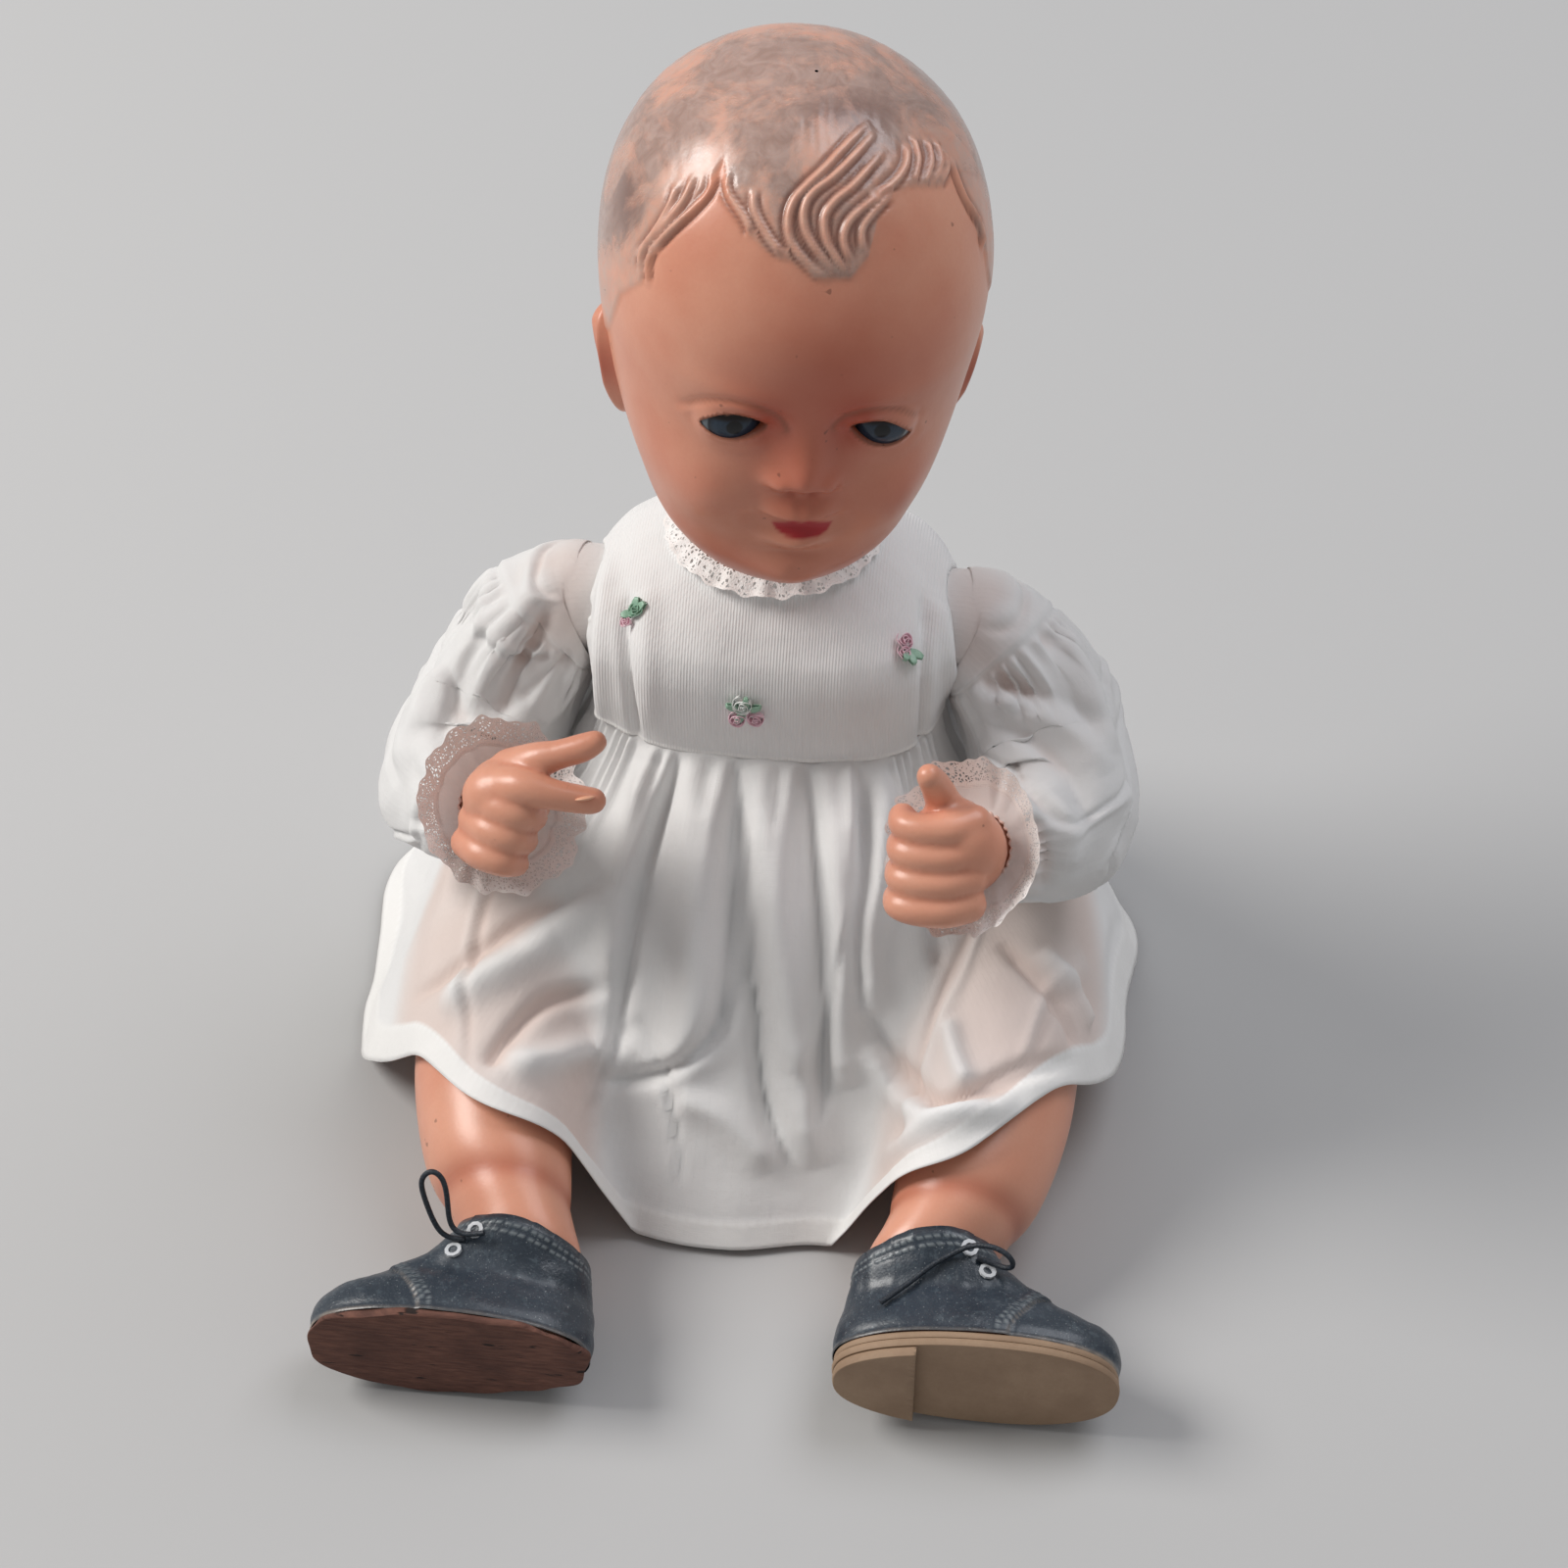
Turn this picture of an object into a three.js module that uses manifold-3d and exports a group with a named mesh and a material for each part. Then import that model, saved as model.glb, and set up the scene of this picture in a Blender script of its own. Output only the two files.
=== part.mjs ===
// Sitting baby doll with moulded hair, sleep eyes, strung limbs, a white dress and leather shoes.
// Millimetres. +Z is up, the doll faces -Y and its left side is +X.
// The origin is the middle of its flat seat.
import * as THREE from 'three';
import { mergeVertices } from 'three/addons/utils/BufferGeometryUtils.js';
import Module from 'manifold-3d';

const wasm = await Module();
wasm.setup();

// Clearances
const restGap = 0.3; // between pieces that touch
const turnGap = 0.4; // round a piece that turns in another

// Torso
const torsoTop = 177;
const torsoWall = 3;
const neckRim = 24; // radius of the flat rim at the top
const neckHole = 17; // radius of the hole in the rim
const waistHeight = 117;
const hipPlane = 41; // flat faces that the legs turn on
const hipHeight = 38;
const hipPocket = 33; // radius of the hollow that the thigh top turns in
const shoulderPlane = 50; // flat faces that the arms turn on
const shoulderHeight = 137;
const torsoStations = [ // height, half width, depth in front, depth behind
  [0, 38, 36, 42],
  [7, 48, 44, 49],
  [30, 60, 51, 54],
  [60, 61, 52, 53],
  [90, 55.5, 47, 48],
  [waistHeight, 51, 42.5, 42],
  [143, 51.5, 41, 38],
  [162, 40, 33, 31],
  [torsoTop, neckRim, neckRim, neckRim],
];

// Head, measured from its own middle
const headRise = 80; // from the neck's pivot to the middle of the head
const headForward = 5;
const headAside = 2.5; // from the neck's line, towards the doll's right
const headYaw = 10.5; // degrees, towards the doll's left
const headRoll = 5.5; // degrees, towards the doll's left
const headWall = 4;
const headSquare = 0.94; // less than 1 makes its level sections boxier
const neckPivot = 192; // height of the middle of the round neck end
const neckBall = 22; // radius of the round neck end
const neckWall = 3.2;
const headStations = [ // height, half width, depth in front, depth behind
  [-70, 15, 47, -17],
  [-65, 27, 56, -6],
  [-56, 37, 61, 15],
  [-44, 43.5, 62.5, 34],
  [-29, 49.5, 63, 50],
  [-12, 54, 62, 62],
  [8, 56.5, 62, 67.5],
  [27, 55, 57.5, 67],
  [45, 48, 48, 59],
  [60, 34, 34, 44],
  [69, 17, 18, 26],
];
const earSize = [5, 11.5, 16.5]; // half sizes
const earPlace = [53, -7, -24];
const earLean = 14; // degrees that the top leans back

// Sleep eyes
const eyeSpread = 21; // from the middle of the face to each eye
const eyeBall = 11.5;
const eyeHeight = -5.5; // of the eye line, from the head's middle
const eyeDepth = 48.3; // of the eye line, in front of the head's middle
const eyeOpening = [17.5, 8.6]; // width and height
const rockerRadius = 1.4;
const weightRadius = 5;
const weightLength = 19;
const weightDrop = 19; // below the eye line
const weightBack = 17; // behind the eye line
const bracketThick = 3;
const bracketHeight = 12;

// Arms
const armDisc = 16.5; // radius of the flat shoulder end
const armWall = 2.4;
const wristRadius = 10.5;
const armRoutes = { // x, y, z and radius, from the shoulder to the wrist
  right: [
    [shoulderPlane + restGap, 0, shoulderHeight, armDisc],
    [60, -0.5, shoulderHeight - 1, 16],
    [69, -3, 131, 15.5],
    [79, -9, 121, 15.5],
    [88, -21, 107, 15.5],
    [95, -41, 98, 15.5],
    [91, -58, 101, 13.5],
    [83, -71, 111, wristRadius],
    [79, -78, 119, wristRadius],
  ],
  left: [
    [shoulderPlane + restGap, 0, shoulderHeight, armDisc],
    [60, -0.5, shoulderHeight - 1, 16],
    [69, -3, 131, 15.5],
    [79, -9, 122, 15.5],
    [88, -21, 110, 15.5],
    [92, -41, 102, 15.5],
    [86, -58, 103, 13.5],
    [76, -71, 110, wristRadius],
    [71, -78, 117, wristRadius],
  ],
};
const palms = { right: [73, -85, 131], left: [63, -86, 127] }; // middle of each palm

// Legs
const thighRadius = 31.5;
const legWall = 3;
const legRows = [ // x, y, z, half width, half height, for the right leg
  [66, 30, hipHeight, 12, 12],
  [66, 25, hipHeight, 20, 20],
  [66, 13, hipHeight, 28.5, 28.5],
  [66, 0, hipHeight, thighRadius, thighRadius],
  [70, -35, hipHeight + 1, 32.5, 32],
  [75, -70, hipHeight, 30, 29.5],
  [77, -100, 36.5, 27.5, 27],
  [76, -125, 33, 25.5, 25],
  [70, -150, 29, 23, 22.5],
  [61, -166, 25.5, 18, 18.5],
];

// Elastics and their ends
const elasticRadius = 1.6;
const elasticHole = 3;
const knotRadius = 3.6;
const toggleRadius = 8;
const toggleThick = 3.6;

// Shoes: the soles face forward and the toes point outward
const soleFace = { right: 212, left: 203 }; // from the doll's middle to the seam of upper and sole
const footOut = { right: 0, left: 5 }; // how far each foot lies further out
const shoeWall = 1.5;
const boardThick = 2.2;
const soleThick = 2.6;
const heelThick = 3.2;
const heelLength = 24;
const shoeLength = 84;
const shoeHeel = 35; // from the middle to the back of the heel
const shoeHalfWidth = 18.2;
// Height above the sole seam, then shares: back of heel, toe, half width; height of the middle
const shoeStations = [
  [0, 0, 1, 1, 21.4],
  [5, -0.01, 1.015, 1.02, 21.4],
  [12, 0, 0.98, 0.97, 21.2],
  [18, 0.015, 0.84, 0.93, 21],
  [25, 0.03, 0.66, 0.98, 22.5],
  [34, 0.035, 0.545, 1.12, 24.5],
];
const footInset = 1.2; // between the foot and the inside of the shoe
const eyeletOuter = 2.7;
const eyeletInner = 1.5;
const eyeletThick = 0.9;
const eyeletLift = 0.9; // the leather is bent under the flat ring
// Name, place along the shoe and height above the sole seam
const eyeletPlaces = [['upper', 72, 29.5], ['lower', 78, 23]];
const laceRadius = 0.85;
const laceRoutes = { // along the shoe, height above the sole seam, and distance off the leather
  right: [
    [75, 26, 1.2], [79, 27, 1.6], [82, 28, 4.5], [84, 30, 9], [87, 32, 15], [89, 33, 22], [87, 33.6, 28],
    [83, 33.8, 30],
    [79, 33, 26], [78.5, 31, 20], [79, 29.5, 13], [78, 28.5, 8], [76, 27, 5.5], [73, 26, 5], [69, 26, 4],
  ],
  left: [
    [75, 26, 1.2], [79, 26, 1.6], [83, 24, 3.5], [85, 22.5, 6], [83, 24.5, 8.6], [79, 26, 7.6], [75, 27, 5.4],
    [71, 27, 3], [66, 25, 1.4], [61, 22, 1.2], [56, 18, 0.9], [51, 13.5, 0.9], [47, 10, 0.9],
  ],
};

// Dress
const clothThick = 1.2;
const bodiceTop = 176.5;
// Height, half width, depth in front, depth behind, and less than 1 for a boxy section
const bodiceStations = [
  [waistHeight, 55.5, 45.5, 44, 0.62],
  [131, 56.5, 48, 44, 0.62],
  [146, 57, 48, 42.5, 0.66],
  [155, 53.5, 45, 39, 0.72],
  [163, 45, 38.5, 35, 0.82],
  [170, 35.5, 31.5, 30, 0.92],
  [bodiceTop, neckRim + 2.4, neckRim + 2.2, neckRim + 2.2, 1],
];
const armhole = 18.5;
const armSeam = 61; // from the middle to the sleeve's first edge
const sleeveBag = 25.5; // radius of the sleeve at the elbow
const hemShift = -4; // the skirt lies a little to the doll's right
const hemCentre = -35;
const hemWidth = 127;
const hemFront = 113;
const hemBack = 112;
const hemLift = 2.2;
const hemOver = { right: 9, left: 17 }; // how much further forward the hem lies over each leg
const hemOverAt = 80; // from the middle to the top of the leg there
const hemOverHalf = 34;
const skirtEase = 3.4; // between the leg and the cloth
const sleeveEase = 4; // between the sleeve and the skirt under it
const sleeveEnd = 2; // from the wrist to the outside of the sleeve's end
const cuffGap = 1.6; // between the sleeve's end and its lace
const cuffLength = 9;
const cuffFlare = 13;
const laceThick = 1;
const neckLaceInner = 26;
const neckLaceWidth = 10;
const leafThick = 1.2;
const buttonRadius = 4;
const buttonThick = 2;

const farAway = 200; // the reach of shapes that only cut

const paint = { // colour, roughness and metalness
  skin: [0xd9967a, 0.42, 0],
  glass: [0x2a3542, 0.08, 0],
  cloth: [0xf1ece8, 0.9, 0],
  lace: [0xf6f3ee, 0.9, 0],
  bud: [0xdf8a96, 0.5, 0],
  leaf: [0x7fa184, 0.55, 0],
  leather: [0x2b3846, 0.5, 0],
  board: [0x6d4638, 0.95, 0],
  sole: [0x9b7f68, 0.8, 0],
  eyelet: [0xd9d6cf, 0.4, 0.6],
  cord: [0x1e232b, 0.9, 0],
  elastic: [0xd8cfba, 0.9, 0],
  wood: [0xb58c5c, 0.7, 0],
  steel: [0x8d9095, 0.4, 1],
  lead: [0x5d6167, 0.6, 1],
  button: [0xf2efe6, 0.3, 0],
};

const doll = new THREE.Group();

// Small helpers

function v(x, y, z) {
  return new THREE.Vector3(x, y, z);
}

function bareOf(geometry) {
  const bare = geometry.clone();
  bare.deleteAttribute('normal');
  bare.deleteAttribute('uv');
  return mergeVertices(bare, 1e-4);
}

function closedBody(geometry) {
  const bare = bareOf(geometry);
  return new wasm.Manifold(new wasm.Mesh({
    numProp: 3,
    vertProperties: new Float32Array(bare.attributes.position.array),
    triVerts: new Uint32Array(bare.index.array),
  }));
}

function geometryOf(body) {
  const mesh = body.getMesh();
  const geometry = new THREE.BufferGeometry();
  geometry.setAttribute('position', new THREE.BufferAttribute(mesh.vertProperties, 3));
  geometry.setIndex(new THREE.BufferAttribute(mesh.triVerts, 1));
  return geometry;
}

function add(name, shape, finish) {
  const [color, roughness, metalness] = paint[finish];
  const material = new THREE.MeshStandardMaterial({ color, roughness, metalness });
  const mesh = new THREE.Mesh(shape.isBufferGeometry ? shape : geometryOf(shape), material);
  mesh.name = name;
  doll.add(mesh);
}

function turnFaces(index) {
  for (let i = 0; i < index.length; i += 3) [index[i], index[i + 1]] = [index[i + 1], index[i]];
}

// The same shape for the doll's right side, from the one for its left.
function mirrored(geometry) {
  const copy = bareOf(geometry).applyMatrix4(new THREE.Matrix4().makeScale(-1, 1, 1));
  turnFaces(copy.index.array);
  return copy;
}

function outward(geometry) {
  const p = geometry.attributes.position;
  const index = geometry.index.array;
  const corner = (i) => new THREE.Vector3().fromBufferAttribute(p, index[i]);
  let volume = 0;
  for (let i = 0; i < index.length; i += 3) volume += corner(i).dot(corner(i + 1).cross(corner(i + 2)));
  if (volume < 0) turnFaces(index);
  return geometry;
}

function catmull(a, b, c, d, t) {
  const bend = (2 * a - 5 * b + 4 * c - d) * t * t;
  const twist = (3 * b - a - 3 * c + d) * t * t * t;
  return (2 * b + (c - a) * t + bend + twist) / 2;
}

// Rows of numbers with smooth rows put in between.
function smoothStations(stations, steps) {
  const rows = [];
  for (let i = 0; i < stations.length - 1; i += 1) {
    const before = stations[Math.max(i - 1, 0)];
    const after = stations[Math.min(i + 2, stations.length - 1)];
    for (let k = 0; k < steps; k += 1) {
      rows.push(stations[i].map((a, j) => catmull(before[j], a, stations[i + 1][j], after[j], k / steps)));
    }
  }
  rows.push(stations[stations.length - 1]);
  return rows;
}

// The row at one value of the rows' first number.
function stationAt(stations, value) {
  let i = 0;
  while (i < stations.length - 2 && stations[i + 1][0] < value) i += 1;
  const [a, b] = [stations[i], stations[i + 1]];
  const t = (value - a[0]) / (b[0] - a[0]);
  return a.map((first, k) => first + (b[k] - first) * t);
}

// A closed skin over rings of points. A looped skin joins its last ring to its first; others get caps.
function skin(rings, looped = false) {
  const count = rings[0].length;
  const points = rings.flat();
  const index = [];
  const strip = (a, b) => {
    for (let k = 0; k < count; k += 1) {
      const next = (k + 1) % count;
      index.push(a * count + k, a * count + next, b * count + k);
      index.push(a * count + next, b * count + next, b * count + k);
    }
  };
  const cap = (ring, flip) => {
    const middle = rings[ring].reduce((sum, p) => sum.add(p), new THREE.Vector3()).divideScalar(count);
    points.push(middle);
    for (let k = 0; k < count; k += 1) {
      const a = ring * count + k;
      const b = ring * count + ((k + 1) % count);
      index.push(...(flip ? [b, a, points.length - 1] : [a, b, points.length - 1]));
    }
  };
  for (let r = 0; r < rings.length - 1; r += 1) strip(r, r + 1);
  if (looped) {
    strip(rings.length - 1, 0);
  } else {
    cap(0, true);
    cap(rings.length - 1, false);
  }
  const geometry = new THREE.BufferGeometry().setFromPoints(points);
  geometry.setIndex(index);
  return outward(geometry);
}

function boxed(value, power) {
  return Math.sign(value) * Math.abs(value) ** power;
}

// A level ring with its own depth in front and behind. It starts in front and goes to the doll's left.
function levelRing(height, halfWidth, front, behind, count, boxy = 1) {
  const middle = (behind - front) / 2;
  const depth = (behind + front) / 2;
  return Array.from({ length: count }, (_, k) => {
    const angle = (k / count) * Math.PI * 2;
    return v(halfWidth * boxed(Math.sin(angle), boxy), middle - depth * boxed(Math.cos(angle), boxy), height);
  });
}

function levelRings(rows, count, grow = 0, boxy = 1) {
  return rows.map(([z, w, f, b]) => levelRing(z, w + grow, f + grow, b + grow, count, boxy));
}

function roundRing(middle, along, first, radius, count) {
  const side = first.clone().addScaledVector(along, -first.dot(along)).normalize();
  const other = new THREE.Vector3().crossVectors(along, side);
  return Array.from({ length: count }, (_, k) => {
    const angle = (k / count) * Math.PI * 2;
    const reach = typeof radius === 'number' ? radius : radius(angle);
    return middle.clone()
      .addScaledVector(side, reach * Math.cos(angle))
      .addScaledVector(other, reach * Math.sin(angle));
  });
}

// Rings square to a smooth path of x, y, z and radius. A level start turns the first rings to the X axis.
function pathRings(rows, steps, count, { grow = 0, wave = () => 0, levelStart = true } = {}) {
  const fine = smoothStations(rows, steps);
  const points = fine.map(([x, y, z]) => v(x, y, z));
  let side = v(0.01, 1, 0.02);
  return fine.map((row, i) => {
    const along = points[Math.min(i + 1, points.length - 1)].clone();
    along.sub(points[Math.max(i - 1, 0)]).normalize();
    const share = i / (fine.length - 1);
    if (levelStart) along.lerp(v(1, 0, 0), Math.max(0, 1 - 3.5 * share)).normalize();
    side = side.clone().addScaledVector(along, -side.dot(along)).normalize();
    return roundRing(points[i], along, side, (angle) => row[3] + grow + wave(angle, share), count);
  });
}

function ball(centre, radii, around, up) {
  const geometry = new THREE.SphereGeometry(1, around, up);
  geometry.scale(radii[0], radii[1], radii[2]);
  geometry.translate(centre.x, centre.y, centre.z);
  return closedBody(geometry);
}

function pointAlong(geometry, direction) {
  const turn = new THREE.Quaternion().setFromUnitVectors(v(0, 1, 0), direction.clone().normalize());
  return geometry.applyQuaternion(turn);
}

// A round bar between two points.
function bar(from, to, radius, sides) {
  const geometry = new THREE.CylinderGeometry(radius, radius, from.distanceTo(to), sides);
  pointAlong(geometry, to.clone().sub(from));
  const middle = from.clone().add(to).multiplyScalar(0.5);
  geometry.translate(middle.x, middle.y, middle.z);
  return closedBody(geometry);
}

// A turned shape about a line: profile points are radius and distance along the line.
function turned(profile, base, direction, sides) {
  const geometry = new THREE.LatheGeometry(profile.map(([r, h]) => new THREE.Vector2(r, h)), sides);
  pointAlong(geometry, direction);
  geometry.translate(base.x, base.y, base.z);
  return outward(bareOf(geometry));
}

function cordTube(points, radius, sides, stepLength) {
  const curve = new THREE.CatmullRomCurve3(points, false, 'centripetal');
  const corners = Array.from({ length: sides }, (_, k) => {
    const angle = (k / sides) * Math.PI * 2;
    return new THREE.Vector2(radius * Math.cos(angle), radius * Math.sin(angle));
  });
  const steps = Math.max(6, Math.round(curve.getLength() / stepLength));
  const outline = new THREE.Shape(corners);
  return new THREE.ExtrudeGeometry(outline, { steps, bevelEnabled: false, extrudePath: curve });
}

// Torso

// The room that a thigh turns in, from sitting to standing.
function hipCutter(side, plane, pocket) {
  const outline = new THREE.Shape();
  outline.moveTo(-farAway, hipHeight + pocket);
  outline.lineTo(0, hipHeight + pocket);
  outline.absarc(0, hipHeight, pocket, Math.PI / 2, 0, true);
  outline.lineTo(pocket, -hipHeight);
  outline.lineTo(-farAway, -hipHeight);
  outline.closePath();
  const depth = farAway;
  const geometry = new THREE.ExtrudeGeometry(outline, { depth, bevelEnabled: false, curveSegments: 10 });
  geometry.rotateX(Math.PI / 2);
  geometry.rotateZ(Math.PI / 2);
  geometry.translate(plane, 0, 0);
  return closedBody(side > 0 ? geometry : mirrored(geometry));
}

function shoulderCutter(side, plane) {
  const room = armDisc + 14;
  return bar(v(side * plane, 0, shoulderHeight), v(side * (plane + farAway), 0, shoulderHeight), room, 20);
}

function torso() {
  const rows = smoothStations(torsoStations, 1);
  let body = closedBody(skin(levelRings(rows, 24)));
  const insideRows = rows.map(([z, w, f, b]) => {
    const inside = Math.min(Math.max(z, torsoWall), torsoTop - torsoWall);
    return [inside, w - torsoWall, f - torsoWall, b - torsoWall];
  });
  let hollow = closedBody(skin(levelRings(insideRows, 16)));
  for (const side of [-1, 1]) {
    body = body.subtract(hipCutter(side, hipPlane, hipPocket));
    body = body.subtract(shoulderCutter(side, shoulderPlane));
    hollow = hollow.subtract(hipCutter(side, hipPlane - torsoWall, hipPocket + torsoWall));
    hollow = hollow.subtract(shoulderCutter(side, shoulderPlane - torsoWall));
  }
  body = body.subtract(hollow);
  for (const height of [hipHeight, shoulderHeight]) {
    body = body.subtract(bar(v(-farAway, 0, height), v(farAway, 0, height), elasticHole, 12));
  }
  const neckBore = bar(v(0, 0, torsoTop - 2 * torsoWall - 2), v(0, 0, torsoTop + torsoWall), neckHole, 24);
  add('torso_shell', body.subtract(neckBore), 'skin');
}

// An elastic runs on the joint's own line, through both limbs, and ends in a knot behind each toggle.
function elastic(name, height, plane, limbWall) {
  const knotAt = plane + restGap + limbWall + restGap + toggleThick + restGap;
  const bulge = [1, 2, 3].map((k) => {
    const angle = (k / 4) * Math.PI;
    const reach = Math.max(knotRadius * Math.sin(angle), elasticRadius);
    return [reach, knotAt + knotRadius * (1 - Math.cos(angle))];
  });
  const half = [[elasticRadius, knotAt], ...bulge, [0, knotAt + 2 * knotRadius]];
  const profile = [...half.map(([r, h]) => [r, -h]).reverse(), ...half];
  add(name, turned(profile, v(0, 0, height), v(1, 0, 0), 8), 'elastic');
}

function ringProfile(inner, outer, thick, rim = 0) {
  const corners = rim
    ? [[outer - rim, 0], [outer, rim], [outer, thick - rim], [outer - rim, thick]]
    : [[outer, 0], [outer, thick]];
  return [[inner, 0], ...corners, [inner, thick], [inner, 0]];
}

function toggle(name, side, height, plane, limbWall) {
  const start = plane + restGap + limbWall + restGap;
  const profile = ringProfile(elasticRadius + restGap, toggleRadius, toggleThick, 0.8);
  add(name, turned(profile, v(side * start, 0, height), v(side, 0, 0), 10), 'wood');
}

// Head

const faceBumps = [ // sideways, height, half width, half height, forward
  [0, -18, 5.5, 6, 8.5], // nose tip
  [0, -10, 5, 9, 4], // nose bridge
  [-5.5, -20, 3.5, 3.5, 2.5], // right nostril wing
  [5.5, -20, 3.5, 3.5, 2.5], // left nostril wing
  [0, -36, 11, 4, 3.6], // upper lip
  [0, -43, 9, 4, 3.6], // lower lip
  [0, -58, 11, 8, 5], // chin
  [-29, -30, 15, 15, 3.2], // right cheek
  [29, -30, 15, 15, 3.2], // left cheek
  [-eyeSpread, eyeHeight, 12, 8, -2.4], // right eye hollow
  [eyeSpread, eyeHeight, 12, 8, -2.4], // left eye hollow
  [0, 22, 34, 18, 2.5], // forehead
];

function faceRelief(p) {
  if (p.y > 0) return p;
  const facing = Math.min(1, -p.y / 30);
  const forward = faceBumps.reduce((sum, [x, z, width, height, amount]) => {
    return sum + amount * Math.exp(-(((p.x - x) / width) ** 2) - (((p.z - z) / height) ** 2));
  }, 0);
  return v(p.x, p.y - forward * facing, p.z);
}

// From the head's own frame to its tilted and turned place on the neck.
function headPlace(shape) {
  const onNeck = shape.rotate([0, 0, headYaw]).translate([-headAside, -headForward, headRise]);
  return onNeck.rotate([0, headRoll, 0]).translate([0, 0, neckPivot]);
}

// The inside of the skull, drawn in from the outside by the wall and an extra gap.
function skullInside(gap) {
  const inside = headStations.map(([z, w, f, b]) => [z * 0.95, w, f, b]);
  return closedBody(skin(levelRings(inside, 16, -headWall - gap, headSquare)));
}

function eyeCutter(side) {
  const [width, height] = eyeOpening;
  const outline = new THREE.Shape();
  outline.moveTo(-width / 2, -0.8);
  outline.quadraticCurveTo(-width / 4, height * 0.62, width * 0.05, height / 2);
  outline.quadraticCurveTo(width * 0.36, height * 0.42, width / 2, -0.3);
  outline.quadraticCurveTo(width * 0.3, -height * 0.52, 0, -height / 2);
  outline.quadraticCurveTo(-width * 0.32, -height * 0.5, -width / 2, -0.8);
  const depth = eyeDepth;
  const geometry = new THREE.ExtrudeGeometry(outline, { depth, bevelEnabled: false, curveSegments: 4 });
  geometry.rotateX(Math.PI / 2);
  geometry.translate(0, -eyeDepth, eyeHeight);
  const placed = side > 0 ? geometry : mirrored(geometry);
  placed.translate(side * eyeSpread, 0, 0);
  return closedBody(placed);
}

function neckShape(wall, sides) {
  const inner = neckBall - wall;
  const profile = [[0, -inner]];
  for (let k = 1; k <= 6; k += 1) {
    const angle = (k / 6) * Math.PI * 0.5;
    profile.push([inner * Math.sin(angle), -inner * Math.cos(angle)]);
  }
  const rise = wall ? 38 : 26;
  profile.push([inner - 1.5, 10], [inner - 0.5, rise - 6], [0, rise]);
  return closedBody(turned(profile, v(0, 0, neckPivot), v(0, 0, 1), sides));
}

function head() {
  const rings = levelRings(smoothStations(headStations, 2), 30, 0, headSquare);
  let body = closedBody(skin(rings.map((ring) => ring.map((p) => faceRelief(p)))));
  const [earX, earY, earZ] = earPlace;
  for (const side of [-1, 1]) {
    const dishSize = [2.4, earSize[1] * 0.6, earSize[2] * 0.62];
    const dish = ball(v(side * (earSize[0] - 0.5), -1.5, 0), dishSize, 6, 5);
    const ear = ball(v(0, 0, 0), earSize, 8, 6).subtract(dish).rotate([-earLean, 0, 0]);
    body = body.add(ear.translate([side * earX, earY, earZ]));
  }
  body = headPlace(body).add(neckShape(0, 20));
  body = body.subtract(headPlace(skullInside(0))).subtract(neckShape(neckWall, 12));
  const hookHole = bar(v(0, 0, neckPivot - neckBall - 2), v(0, 0, neckPivot), elasticHole, 12);
  body = body.subtract(hookHole);
  for (const side of [-1, 1]) {
    const pocket = eyeBall + turnGap;
    const place = v(side * eyeSpread, -eyeDepth, eyeHeight);
    body = body.subtract(headPlace(ball(place, [pocket, pocket, pocket], 14, 10)));
    body = body.subtract(headPlace(eyeCutter(side)));
  }
  add('head_shell', body, 'skin');
}

// Both eyes, the bar that joins them, its two arms and the weight turn together on the eye line.
function eyes() {
  for (const [name, side] of [['eye_right', -1], ['eye_left', 1]]) {
    const place = v(side * eyeSpread, -eyeDepth, eyeHeight);
    add(name, headPlace(ball(place, [eyeBall, eyeBall, eyeBall], 12, 9)), 'glass');
  }
  const reach = eyeSpread - eyeBall - restGap;
  const line = (x) => v(x, -eyeDepth, eyeHeight);
  const weightAt = (x) => v(x, -eyeDepth + weightBack, eyeHeight - weightDrop);
  const armAt = reach - rockerRadius;
  const along = weightAt(0).sub(line(0)).normalize();
  let rocker = bar(line(-reach), line(reach), rockerRadius, 12);
  for (const side of [-1, 1]) {
    const end = weightAt(side * armAt).addScaledVector(along, -weightRadius - restGap);
    rocker = rocker.add(bar(line(side * armAt), end, rockerRadius, 10));
  }
  add('eye_rocker', headPlace(rocker), 'steel');
  const half = weightLength / 2;
  add('eye_weight', headPlace(bar(weightAt(-half), weightAt(half), weightRadius, 14)), 'lead');
  const plateDepth = 24;
  const plate = new THREE.BoxGeometry(bracketThick, plateDepth, bracketHeight);
  plate.translate(0, -eyeDepth + 4 - plateDepth / 2, eyeHeight + 1);
  const bearing = bar(line(-bracketThick), line(bracketThick), rockerRadius + turnGap, 14);
  const bracket = closedBody(plate).subtract(bearing).intersect(skullInside(restGap));
  add('eye_bracket', headPlace(bracket), 'wood');
}

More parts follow.
